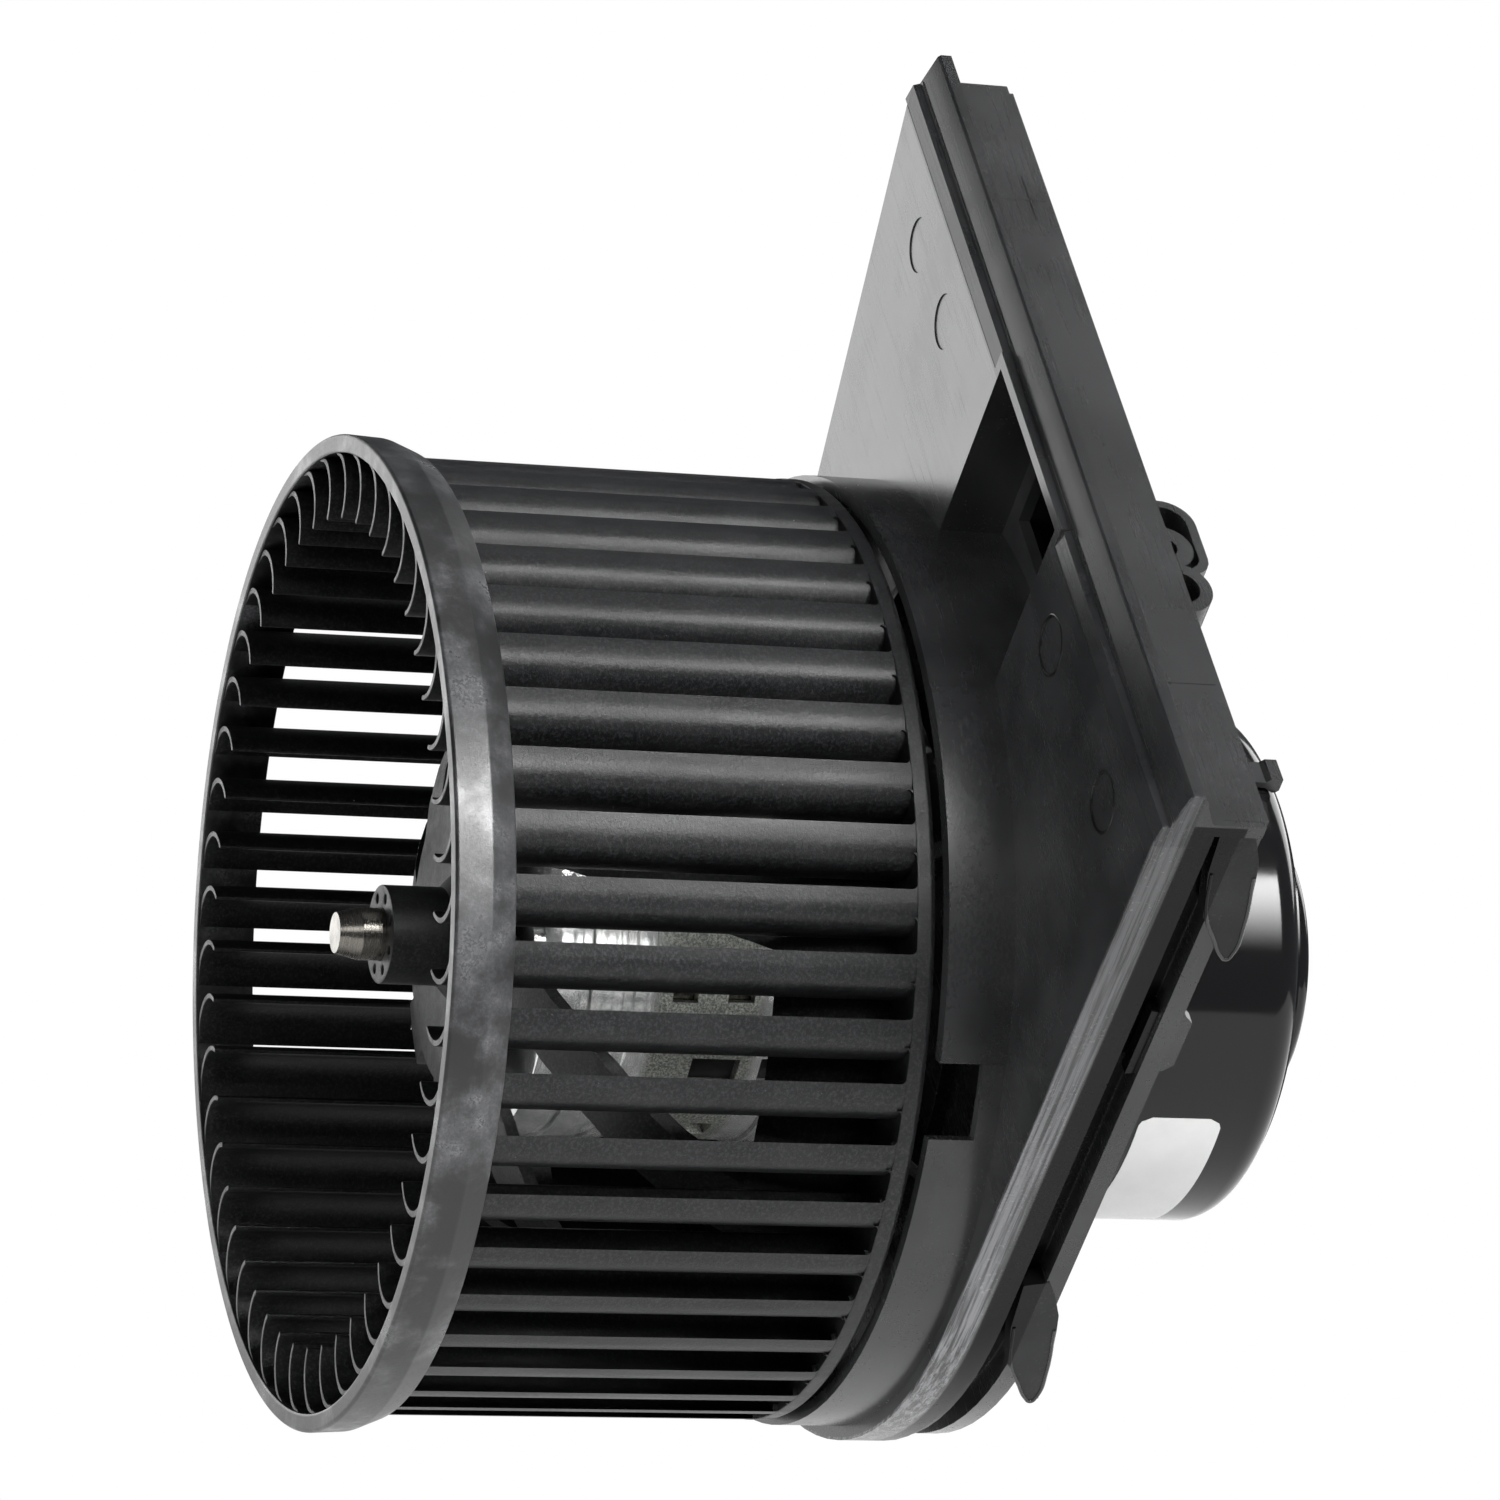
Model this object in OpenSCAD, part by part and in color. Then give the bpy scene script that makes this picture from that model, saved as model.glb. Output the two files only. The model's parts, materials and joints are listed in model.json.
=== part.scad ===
// Car heater blower: forward-curved wheel, motor and mounting flange.
// The motor axis is Y. y = 0 is the front face of the mounting plate, and the open
// face of the wheel looks along -Y. "u" points out across the long stepped lip, at
// 45 degrees between +X and +Z; "v" points out across the lower edge, at 45 degrees
// between +X and -Z.

/* [Wheel] */
// Outer diameter of the wheel's front rim
wheel_d = 150; // [148:0.5:152]
// Distance from the mounting plate's front face to the wheel's open edge
wheel_reach = 84.5; // [83.5:0.25:86]
// Depth of the wheel from its front rim to the back of its back ring
wheel_depth = 72.9; // [70:0.1:73.5]
// Number of blades
blade_count = 48; // [24:12:48]
// Width of the front rim along the axis
rim_width = 9.4; // [7:0.1:12]
// Number of swept arms in the dome
arm_count = 8; // [6:1:8]
// Tangential width of one arm
arm_width = 10; // [8:0.5:12]

/* [Motor] */
// Diameter of the shaft
shaft_d = 8; // [7.9:0.05:8]
// Outer diameter of the motor can
can_d = 60; // [59.6:0.1:60.2]
// Distance from the plate's front face to the front of the motor can
can_front = 56.7; // [56:0.1:57]
// Outer diameter of the rear cover
cover_d = 80.8; // [80:0.2:81]

/* [Flange] */
// Outer diameter of the collar behind the wheel
collar_d = 146; // [145:0.5:147]
// Thickness of the mounting plate
plate_t = 2.5; // [2:0.1:2.8]
// Distance from the motor axis to the long stepped edge, to the lip's outer line
lip_reach = 110; // [108:0.5:112]
// Distance from the motor axis to the lower edge
lower_reach = 75.2; // [75:0.1:76]
// Height of the skirt behind the plate's front face
skirt_h = 15.5; // [14:0.1:16]

/* [Hidden] */
round_fn = 180;
half = sqrt(1 / 2);

// wheel
wheel_r = wheel_d / 2;
blade_r = wheel_r - 2.8;
blade_tip_r = 62;
blade_pitch = 360 / blade_count;
slot_end = wheel_depth - 3;
blade_start = 0.35;
bow_r = 6.6;
bow_centre = [blade_r - 5.8, 3.7];
dome_start_r = 18;
dome_start = 21.4;
dome_wall = 1.8;
dome_depth = slot_end - 0.9 - dome_start;
dome_span = blade_tip_r - dome_start_r;
hub_r = 7.5;
hub_front = 10.1;

// motor
shaft_r = shaft_d / 2;
shaft_front = 3.1 - wheel_reach;
shaft_back = 60.5;
can_r = can_d / 2;
can_in_r = can_r - 2.3;
can_back = 50;
bell_back = 7.1 - can_front;
seat_r = 8;
core_r = 21.9;
core_y = [-38, -4];
magnet_in_r = 22.4;
commutator_r = 11;
commutator_y = [8, 24];
card_y = [26, 28];
brush_y = 15.5;
brush_size = [6, 8, 10];
brush_gap = 0.05;
brush_back = commutator_r + brush_gap + brush_size[2];
spring_end = 26.2;
front_bearing_y = [3 - can_front, 10.2 - can_front];
rear_bearing_y = [52, 59.4];

// flange
collar_r = collar_d / 2;
collar_in_r = collar_r - 2;
collar_front = -10.2;
floor_y = [4, 6.5];
lip_skirt = lip_reach - 5;
scoop_u = lip_reach - 7.5;
scoop_v = [-20.5, 14];
scoop_wall = 1.8;
scoop_depth = 10;
arc_end = -252;
cradle_r = 33;
bolt_pitch_r = 25;
barrel_u = [88, 102.4];
barrel_v = [16.2, 24.5];
barrel_r = [4.3, 5.1];
barrel_bore_r = [1.9, 3.2];
barrel_y = 16.5;
duct_v = [-19, 10];
grommet_u = 20;
lead_v = [3.5, 6.6];
lead_r = 1.1;
cover_r = cover_d / 2;
cover_t = 2;
cover_front = floor_y[1];
nose_r = 22.5;
nose_y = 69;
latch_angles = [45.5, 225.5];

// ---- helpers ----
function on_circle(r, a) = r * [cos(a), sin(a)];
function arc(centre, r, a0, a1, n) = [for (i = [0:n]) centre + on_circle(r, a0 + (a1 - a0) * i / n)];
// a point (u, v) of the flange's 45 degree axes as (x, z)
function from_uv(u, v) = half * [u + v, u - v];

// profile points are (radius, y)
module ring_y(profile) {
    rotate([-90, 0, 0])
        rotate_extrude($fn = round_fn)
            polygon(profile);
}

module disc_y(r, y) {
    translate([0, y[0], 0])
        rotate([-90, 0, 0])
            cylinder(r = r, h = y[1] - y[0], $fn = round_fn);
}

module tube_y(r_out, r_in, y) {
    difference() {
        disc_y(r_out, y);
        disc_y(r_in, [y[0] - 1, y[1] + 1]);
    }
}

// children are drawn in (x, z) and reach from y[0] to y[1]
module slab_y(y) {
    translate([0, y[1], 0])
        rotate([90, 0, 0])
            linear_extrude(y[1] - y[0])
                children();
}

// turns children about Y, from +X towards +Z
module turn(a) {
    rotate([0, -a, 0])
        children();
}

// x is u, y is y and z is -v
module edge_frame() {
    rotate([0, -45, 0])
        children();
}

// a block given by its ranges along u, v and y
module uv_block(u, v, y) {
    edge_frame()
        translate([u[0], y[0], -v[1]])
            cube([u[1] - u[0], y[1] - y[0], v[1] - v[0]]);
}

// a profile of (u, y) points that reaches from v[0] to v[1]
module uv_rail(profile, v) {
    edge_frame()
        translate([0, 0, -v[1]])
            linear_extrude(v[1] - v[0])
                polygon(profile);
}

// a round bar along u
module uv_rod(r, u, v, y) {
    edge_frame()
        translate([u[0], y, -v])
            rotate([0, 90, 0])
                cylinder(r = r, h = u[1] - u[0], $fn = 48);
}

module box_between(low, high) {
    translate(low)
        cube(high - low);
}

// ---- rotor ----
module in_wheel() {
    translate([0, -wheel_reach, 0])
        children();
}

module wheel_front_rim() color("#1c1d1f") in_wheel()
    ring_y([
        [blade_r, 0.3],
        [blade_r + 0.3, 0],
        [wheel_r - 0.4, 0],
        [wheel_r, 0.4],
        [wheel_r - 0.3, 5.5],
        [wheel_r - 1.8, rim_width],
        [blade_r, rim_width]
    ]);

// one blade's section as (radius, tangent) points, with the cap's clockwise edge at 0
function blade_section() = concat(
    [for (i = [0:11]) bow_centre + bow_r * [sin(122 + 98 * i / 11), cos(122 + 98 * i / 11)]],
    [for (i = [0:10]) bow_centre
        + (5.8 - 0.3 * i / 10) * [sin(217 - 105 * i / 10), cos(217 - 105 * i / 10)]],
    [[blade_r - 0.45, 3]],
    [for (a = [3.3, 2.2, 1.1, 0]) on_circle(blade_r, a)]
);

module wheel_blades() color("#202123") in_wheel()
    for (i = [0:blade_count - 1])
        slab_y([blade_start, slot_end])
            rotate(i * blade_pitch - 2.5)
                polygon(blade_section());

module wheel_back_ring() color("#1d1e20") in_wheel()
    ring_y([
        [blade_tip_r, slot_end],
        [blade_r, slot_end],
        [blade_r + 0.4, slot_end + 0.4],
        [blade_r + 0.4, wheel_depth - 0.8],
        [blade_r - 0.4, wheel_depth],
        [blade_tip_r + 0.8, wheel_depth],
        [blade_tip_r, wheel_depth - 0.8]
    ]);

// point of the dome's quarter ellipse, shrunk by t, at angle a from its rim
function dome_point(t, a) = [
    dome_start_r + (dome_span - t) * cos(a),
    dome_start + dome_depth - (dome_depth - t) * sin(a)
];

module dome_shell()
    ring_y(concat(
        [[blade_tip_r, wheel_depth - 0.8]],
        [for (i = [0:14]) dome_point(0, 90 * i / 14)],
        [[hub_r + 2, dome_start], [hub_r, dome_start - 2]],
        [[hub_r, dome_start + dome_wall]],
        [for (i = [14:-1:0]) dome_point(dome_wall, 90 * i / 14)],
        [[blade_tip_r - dome_wall, wheel_depth - 0.8]]
    ));

// the arms lean back as they run outwards
function arm_angle(r) = -19.3 - 0.9 * (r - 37);
function arm_half(r) = asin(arm_width / 2 / r);

module arm_outline()
    polygon(concat(
        [for (r = [16:6:64]) on_circle(r, arm_angle(r) - arm_half(r))],
        [for (r = [64:-6:16]) on_circle(r, arm_angle(r) + arm_half(r))]
    ));

module wheel_web() color("#1f2022") in_wheel()
    intersection() {
        dome_shell();
        union() {
            disc_y(23, [0, wheel_depth]);
            tube_y(blade_tip_r + 1, blade_tip_r - 2.6, [0, wheel_depth]);
            for (k = [0:arm_count - 1])
                slab_y([0, wheel_depth])
                    rotate(360 * k / arm_count)
                        arm_outline();
        }
    }

module wheel_hub() color("#232426") in_wheel()
    difference() {
        disc_y(hub_r, [hub_front, dome_start + dome_wall]);
        disc_y(shaft_r, [0, wheel_depth]);
        for (k = [0:7])
            turn(45 * k + 22.5)
                translate([5.75, 0, 0])
                    disc_y(0.75, [hub_front - 1, hub_front + 5]);
    }

// a small clip pushed over one blade's inner edge
module balance_clip() color("#26282a") in_wheel()
    turn(26 * blade_pitch - 2.5 + 0.2)
        difference() {
            box_between([blade_tip_r - 1.2, 33, -3], [blade_tip_r + 1.4, 43.5, 2.2]);
            box_between([blade_tip_r - 0.1, 32, -2.3], [blade_tip_r + 4, 44.5, 1.6]);
            box_between([blade_tip_r - 2, 36.8, -4], [blade_tip_r - 0.7, 39.8, 3]);
        }

module motor_shaft() color("silver")
    ring_y([
        [0, shaft_front],
        [shaft_r - 0.9, shaft_front],
        [shaft_r, shaft_front + 3.5],
        [shaft_r, shaft_back - 0.6],
        [shaft_r - 0.6, shaft_back],
        [0, shaft_back]
    ]);

module armature_core() color("slategray")
    difference() {
        disc_y(core_r, core_y);
        disc_y(shaft_r, [core_y[0] - 1, core_y[1] + 1]);
        for (k = [0:11])
            turn(30 * k) {
                translate([15.6, 0, 0])
                    disc_y(3.4, [core_y[0] - 1, core_y[1] + 1]);
                box_between([16, core_y[0] - 1, -0.9], [core_r + 1, core_y[1] + 1, 0.9]);
            }
    }

module coil_head(y, side)
    ring_y([
        [9.5, y],
        [19.4, y],
        [20.2, y + side * 1.5],
        [19.6, y + side * 5.5],
        [16.5, y + side * 7.5],
        [11.5, y + side * 6.5],
        [9.5, y + side * 4]
    ]);

module armature_windings() color("#a0522d") {
    coil_head(core_y[0] - 1, -1);
    coil_head(core_y[1] + 1, 1);
    for (k = [0:11])
        turn(30 * k)
            translate([15.6, 0, 0])
                disc_y(3.1, [core_y[0] - 1.2, core_y[1] + 1.2]);
}

module armature_end_discs() color("#2f5d3a") {
    tube_y(9.2, shaft_r, [core_y[0] - 5, core_y[0]]);
    tube_y(9.2, shaft_r, [core_y[1], core_y[1] + 5]);
}

module commutator() color("#b87333")
    difference() {
        union() {
            disc_y(commutator_r, commutator_y);
            disc_y(commutator_r + 1.6, [commutator_y[0], commutator_y[0] + 2]);
        }
        disc_y(shaft_r, [commutator_y[0] - 1, commutator_y[1] + 1]);
        for (k = [0:11])
            turn(30 * k + 15)
                box_between([commutator_r - 1.2, commutator_y[0] - 1, -0.3],
                    [commutator_r + 3, commutator_y[1] + 1, 0.3]);
    }

module thrust_washers() color("ivory") {
    tube_y(6.4, shaft_r, [front_bearing_y[1] + 0.2, front_bearing_y[1] + 1]);
    tube_y(6.4, shaft_r, [rear_bearing_y[0] - 1, rear_bearing_y[0] - 0.2]);
}

// ---- flange ----
// outline in (x, z): round at the bottom and left, one square corner, one slanting free edge
function flange_outline(inset, u_top) = concat(
    arc([0, 0], lower_reach - inset, -45, arc_end, 52),
    [from_uv(u_top, -82.6 - 0.23 * (u_top - 101) + inset)],
    [from_uv(u_top, lower_reach - inset)]
);

module flange_slab(inset, u_top, y)
    slab_y(y)
        polygon(flange_outline(inset, u_top));

module flange_wall(inset, t, u_top, y)
    difference() {
        flange_slab(inset, u_top, y);
        flange_slab(inset + t, u_top - 2.2, [y[0] - 1, y[1] + 1]);
    }

module stepped_lip()
    uv_rail([
        [lip_reach - 9.6, 0.4],
        [lip_reach - 9, 0.05],
        [lip_reach - 6.2, 0.5],
        [lip_reach - 5.8, 1.5],
        [lip_reach - 0.4, 2.8],
        [lip_reach, 3.2],
        [lip_reach, 4.9],
        [lip_skirt, 7.5],
        [lip_skirt, skirt_h],
        [lip_skirt - 2.2, skirt_h],
        [lip_skirt - 2.2, plate_t - 0.4],
        [lip_reach - 9.6, plate_t - 0.4]
    ], [-84, lower_reach]);

// finger with a barbed end; it starts at u = root and points towards lower u
module snap_hook(root)
    uv_rail([
        [root, 9.6],
        [root + 0.8, 13.5],
        [root - 2.6, 15.4],
        [root - 6.5, 17.1],
        [root - 9.8, 17.8],
        [root - 19.4, 19.4],
        [root - 25.4, 19.6],
        [root - 26.6, 18.6],
        [root - 25.6, 17.3],
        [root - 17.7, 12.4],
        [root - 9.4, 10.4]
    ], [lower_reach - 4, lower_reach - 1]);

module edge_tab()
    uv_rail([
        [65.6, skirt_h - 4],
        [64.8, 17],
        [63.4, 18.4],
        [54.6, 18.4],
        [53.4, 17],
        [52.6, skirt_h - 4]
    ], [lower_reach - 4, lower_reach - 2]);

module scoop_pocket()
    difference() {
        union() {
            uv_block([60, scoop_u], scoop_v, [-1, scoop_depth]);
            uv_block([76, 99], duct_v + [2, -2], [-1, scoop_depth + 5]);
        }
        disc_y(collar_r, [-2, scoop_depth + 6]);
    }

module stiffening_rib(a)
    intersection() {
        flange_slab(3, lip_skirt - 1, [2, 11]);
        turn(a) {
            box_between([42.5, floor_y[0] + 1, -0.9], [collar_in_r + 1, 11, 0.9]);
            box_between([collar_in_r, plate_t - 0.5, -0.9], [120, 9, 0.9]);
        }
    }

module cover_latch(a)
    turn(a)
        translate([0, 0, -2.2])
            linear_extrude(4.4)
                polygon([
                    [cover_r + 0.6, floor_y[0] + 1],
                    [cover_r + 1.8, floor_y[0] + 1],
                    [cover_r + 1.8, 56.2],
                    [cover_r + 2.5, 57],
                    [cover_r + 2.5, 58.9],
                    [cover_r + 0.2, 58.9],
                    [cover_r - 0.3, 58.4],
                    [cover_r - 0.3, 57.8],
                    [cover_r + 0.6, 56.4]
                ]);

module mounting_flange() color("#17181a")
    difference() {
        union() {
            flange_slab(0, lip_reach - 9, [0, plate_t]);
            flange_wall(0, 5, lip_skirt, [1.5, 7.4]);
            flange_wall(0.5, 5.9, lip_skirt, [7.4, 8.7]);
            flange_wall(5, 1.4, lip_skirt, [8.7, 13]);
            flange_wall(1.2, 5.2, lip_skirt, [13, skirt_h + 0.6]);
            tube_arc(collar_r + 0.5, collar_r - 1, [collar_front, 1], 10.9, 44.2);
            stepped_lip();
            disc_y(collar_r, [collar_front, floor_y[1]]);
            uv_block([66, scoop_u + scoop_wall], scoop_v + scoop_wall * [-1, 1],
                [0, scoop_depth + scoop_wall]);
            for (a = [-150, -105, -60, -15, 75, 120, 165])
                stiffening_rib(a);
            tube_y(cover_r + 2.8, cover_r + 0.4, [floor_y[0] + 1, 12]);
            for (a = latch_angles)
                cover_latch(a);
            snap_hook(103.9);
            snap_hook(7.4);
            edge_tab();
        }
        scoop_pocket();
        disc_y(collar_in_r, [collar_front - 1, floor_y[0]]);
        disc_y(cradle_r + 0.2, [0, 20]);
        cradle_screw_places()
            disc_y(1.5, [floor_y[0] - 1, floor_y[0] + 2]);
        collar_window();
        ejector_marks();
    }

module collar_window()
    turn(-16)
        box_between([collar_in_r - 2, collar_front - 1, -5.8], [collar_r + 2, collar_front + 7, 5.8]);

module ejector_marks()
    for (v = [-61.4, -43.9, 25.9, 57.4])
        at_uv(91, 0, v)
            disc_y(4.25, [-1, 0.2]);

// carries cooling air from the scoop's floor into the rear cover
module cooling_duct() color("#1b1c1e")
    difference() {
        uv_rail([
            [101, scoop_depth + scoop_wall],
            [101, 14],
            [64, 24.5],
            [43, 27.5],
            [43, 12.5],
            [67.5, 12.5],
            [67.5, scoop_depth + scoop_wall]
        ], duct_v);
        uv_rail([
            [99.4, scoop_depth],
            [99.4, 12.8],
            [63.6, 22.8],
            [40, 26],
            [40, 14.2],
            [74, 14.2],
            [74, scoop_depth]
        ], duct_v + [1.8, -1.8]);
        disc_y(cover_r + 3, [0, 40]);
        lead_hole();
    }

// the leads leave the duct through its side
module lead_hole()
    edge_frame()
        translate([80, 14.4, -duct_v[1] - 1])
            cylinder(r = 3.2, h = 4, $fn = 48);

// moves children to a point given by u, y and v
module at_uv(u, y, v = 0)
    translate([from_uv(u, v)[0], y, from_uv(u, v)[1]])
        children();

// ---- motor ----
module motor_cradle() color("#141516")
    difference() {
        union() {
            disc_y(cradle_r - 1, [-13.4, -9]);
            disc_y(cradle_r, [-9.6, 14]);
            disc_y(44, [1.6, floor_y[0]]);
            for (k = [0:5])
                turn(60 * k + 20)
                    translate([0, 0, -1.2])
                        linear_extrude(2.4)
                            polygon([
                                [cradle_r - 0.5, -8.4],
                                [cradle_r + 1.5, -8.4],
                                [57, floor_y[0] - 1.2],
                                [57, floor_y[0] - 0.1],
                                [cradle_r - 0.5, floor_y[0] - 0.1]
                            ]);
        }
        disc_y(can_r + 1, [-20, 20]);
        cradle_screw_places()
            disc_y(1.5, [-20, 20]);
    }

module cradle_screw_places()
    for (k = [0:2])
        turn(120 * k + 50)
            translate([40, 0, 0])
                children();

module cradle_screws() color("silver")
    cradle_screw_places() {
        disc_y(3.2, [-0.8, 1.6]);
        disc_y(1.5, [1.6, floor_y[0] + 1.8]);
    }

// two rows of small windows, and a pair with a tongue between them
module can_windows()
    for (k = [0:3])
        turn(90 * k) {
            turn(-12.5)
                box_between([can_r - 4, 48.7 - wheel_reach - 1, -1.7], [can_r + 2, 51.6 - wheel_reach, 1.7]);
            turn(-12)
                box_between([can_r - 4, 56.4 - wheel_reach, -1.7], [can_r + 2, 60.5 - wheel_reach, 1.7]);
            turn(-39)
                box_between([can_r - 4, 52.5 - wheel_reach, -2.6], [can_r + 2, 60 - wheel_reach, 2.6]);
            turn(-38.5)
                box_between([can_r - 4, 63.4 - wheel_reach, -2.6], [can_r + 2, 68.5 - wheel_reach, 2.6]);
            turn(-69)
                box_between([can_r - 4, 56.5 - wheel_reach, -2.4], [can_r + 2, 60 - wheel_reach, 2.4]);
        }

module motor_can() color("lightgray")
    difference() {
        ring_y([
            [can_in_r, bell_back],
            [can_r, bell_back],
            [can_r, bell_back + 5],
            [can_r - 0.6, bell_back + 5.2],
            [can_r - 0.6, bell_back + 6.6],
            [can_r, bell_back + 6.8],
            [can_r, bell_back + 9.7],
            [can_r - 0.4, bell_back + 10],
            [can_r - 0.4, -18.4],
            [can_r + 0.2, -18],
            [can_r + 0.2, -17.5],
            [can_r - 0.3, -17.2],
            [can_r - 0.3, -14.4],
            [can_r + 0.3, -14.2],
            [can_r + 0.3, -13.8],
            [can_r - 0.4, -13.6],
            [can_r - 0.4, can_back],
            [can_in_r, can_back]
        ]);
        can_windows();
    }

module bolt_places()
    for (side = [-1, 1])
        translate([side * bolt_pitch_r, 0, 0])
            children();

module front_bell() color("gainsboro")
    difference() {
        ring_y([
            [5, -can_front],
            [can_r - 2, -can_front],
            [can_r - 0.6, 0.6 - can_front],
            [can_r, 2 - can_front],
            [can_r, 5.1 - can_front],
            [can_r - 0.8, 5.3 - can_front],
            [can_r - 0.8, bell_back],
            [can_in_r, bell_back],
            [can_in_r, 2 - can_front],
            [can_in_r - 0.5, 1.5 - can_front],
            [seat_r + 2, 1.5 - can_front],
            [seat_r + 2, front_bearing_y[1]],
            [seat_r, front_bearing_y[1]],
            [seat_r, 1.5 - can_front],
            [5, 1.5 - can_front]
        ]);
        bolt_places()
            disc_y(1.7, [-70, 60]);
    }

module rear_cap() color("gainsboro")
    difference() {
        ring_y([
            [0, rear_bearing_y[1] + 1.6],
            [seat_r, rear_bearing_y[1] + 1.6],
            [seat_r, can_back],
            [can_r - 0.4, can_back],
            [can_r - 0.4, can_back + 1.5],
            [seat_r + 3.5, can_back + 1.5],
            [seat_r + 2, can_back + 3],
            [seat_r + 2, rear_bearing_y[1] + 2.1],
            [seat_r + 1, rear_bearing_y[1] + 3.1],
            [0, rear_bearing_y[1] + 3.1]
        ]);
        bolt_places()
            disc_y(1.7, [40, 60]);
        at_uv(grommet_u, 0, (lead_v[0] + lead_v[1]) / 2)
            disc_y(4, [40, 60]);
    }

module through_bolts() color("silver")
    bolt_places() {
        disc_y(1.7, [-can_front, can_back + 1.5]);
        disc_y(3, [-can_front - 1.8, -can_front]);
        disc_y(3, [can_back + 1.5, can_back + 3.8]);
    }

// part of a tube between two angles, both measured from the tube's middle
module tube_arc(r_out, r_in, y, middle, spread)
    intersection() {
        tube_y(r_out, r_in, y);
        slab_y(y)
            rotate(middle)
                polygon(concat([[0, 0]], arc([0, 0], r_out * 1.5, -spread / 2, spread / 2, 4)));
    }

module magnets() color("#3a3a3d")
    for (middle = [90, 270])
        tube_arc(can_in_r - 0.1, magnet_in_r, [core_y[0] - 3, core_y[1] + 3], middle, 130);

module magnet_clips() color("silver")
    for (middle = [16, -16, 164, 196])
        tube_arc(can_in_r - 0.2, can_in_r - 1, [core_y[0], core_y[1]], middle, 14);

module bearing(y)
    ring_y([
        [shaft_r + 0.02, y[0]],
        [seat_r - 1, y[0]],
        [seat_r, y[0] + 2],
        [seat_r, y[1] - 2],
        [seat_r - 1, y[1]],
        [shaft_r + 0.02, y[1]]
    ]);

module front_bearing() color("#b08d57")
    bearing(front_bearing_y);

module rear_bearing() color("#b08d57")
    bearing(rear_bearing_y);

module bearing_retainers() color("silver") {
    tube_y(seat_r + 2, 6.6, [front_bearing_y[1], front_bearing_y[1] + 0.6]);
    tube_y(seat_r, 6.6, [rear_bearing_y[0] - 1.6, rear_bearing_y[0] - 1]);
}

module oil_felts() color("tan") {
    tube_y(seat_r, shaft_r + 0.6, [front_bearing_y[0] - 1.5, front_bearing_y[0] - 0.1]);
    tube_y(seat_r, shaft_r + 0.6, [rear_bearing_y[1] + 0.1, rear_bearing_y[1] + 1.5]);
}

module brush_card() color("#6b4a2b")
    difference() {
        tube_y(can_in_r - 0.2, commutator_r + 1.8, card_y);
        bolt_places()
            disc_y(2, [20, 40]);
    }

// a brass tube for one brush, with a foot on the card
module brush_holder()
    difference() {
        union() {
            box_between([-3.75, brush_y - 4.75, 12.4], [3.75, brush_y + 4.75, spring_end + 0.8]);
            box_between([-2, brush_y + 4, 15], [2, card_y[0], 24]);
        }
        box_between([-3.12, brush_y - 4.12, 12], [3.12, brush_y + 4.12, spring_end]);
    }

module mirrored(side)
    mirror([0, 0, side < 0 ? 1 : 0])
        children();

module brush_holders() color("#b5a642")
    for (side = [-1, 1])
        mirrored(side)
            brush_holder();

module brush(side)
    mirrored(side)
        difference() {
            box_between([-brush_size[0] / 2, brush_y - brush_size[1] / 2, commutator_r - 1],
                [brush_size[0] / 2, brush_y + brush_size[1] / 2, brush_back]);
            disc_y(commutator_r + brush_gap, [0, 30]);
        }

module upper_brush() color("#2b2b2b")
    brush(1);

module lower_brush() color("#2b2b2b")
    brush(-1);

// turns of a spring, drawn as a stack of thin rings joined by a core sleeve
module brush_spring(side)
    mirrored(side)
        translate([0, brush_y, brush_back])
            difference() {
                union() {
                    cylinder(r = 2.2, h = spring_end - brush_back, $fn = 32);
                    for (k = [0:3])
                        translate([0, 0, 0.2 + k * 1.35])
                            cylinder(r = 2.7, h = 0.7, $fn = 32);
                }
                translate([0, 0, -1])
                    cylinder(r = 1.7, h = 10, $fn = 32);
            }

module upper_brush_spring() color("silver")
    brush_spring(1);

module lower_brush_spring() color("silver")
    brush_spring(-1);

module choke_coils() color("#a0522d")
    for (side = [-1, 1])
        translate([-17, 0, side * 8])
            difference() {
                union() {
                    disc_y(3.2, [card_y[1], card_y[1] + 14]);
                    for (k = [0:4])
                        disc_y(3.7, [card_y[1] + 1 + k * 2.6, card_y[1] + 2.4 + k * 2.6]);
                }
                disc_y(1.5, [card_y[1] + 1, card_y[1] + 15]);
            }

// ---- leads ----
function unit(a) = a / norm(a);

// points of a tube with round section along a path
function ring_points(path, i, r, sides) = let(
    ahead = path[min(i + 1, len(path) - 1)],
    behind = path[max(i - 1, 0)],
    along = unit(ahead - behind),
    side = unit(cross(along, [1, 0, -1])),
    up = cross(along, side)
) [for (j = [0:sides - 1]) path[i] + r * (cos(360 * j / sides) * side + sin(360 * j / sides) * up)];

module tube_along(path, r, sides = 8) {
    last = len(path) - 1;
    polyhedron(
        points = [for (i = [0:last]) each ring_points(path, i, r, sides)],
        faces = concat(
            [[for (j = [0:sides - 1]) j]],
            [[for (j = [sides - 1:-1:0]) last * sides + j]],
            [for (i = [0:last - 1]) for (j = [0:sides - 1])
                let(k = (j + 1) % sides)
                [i * sides + j, (i + 1) * sides + j, (i + 1) * sides + k, i * sides + k]]
        )
    );
}

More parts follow.
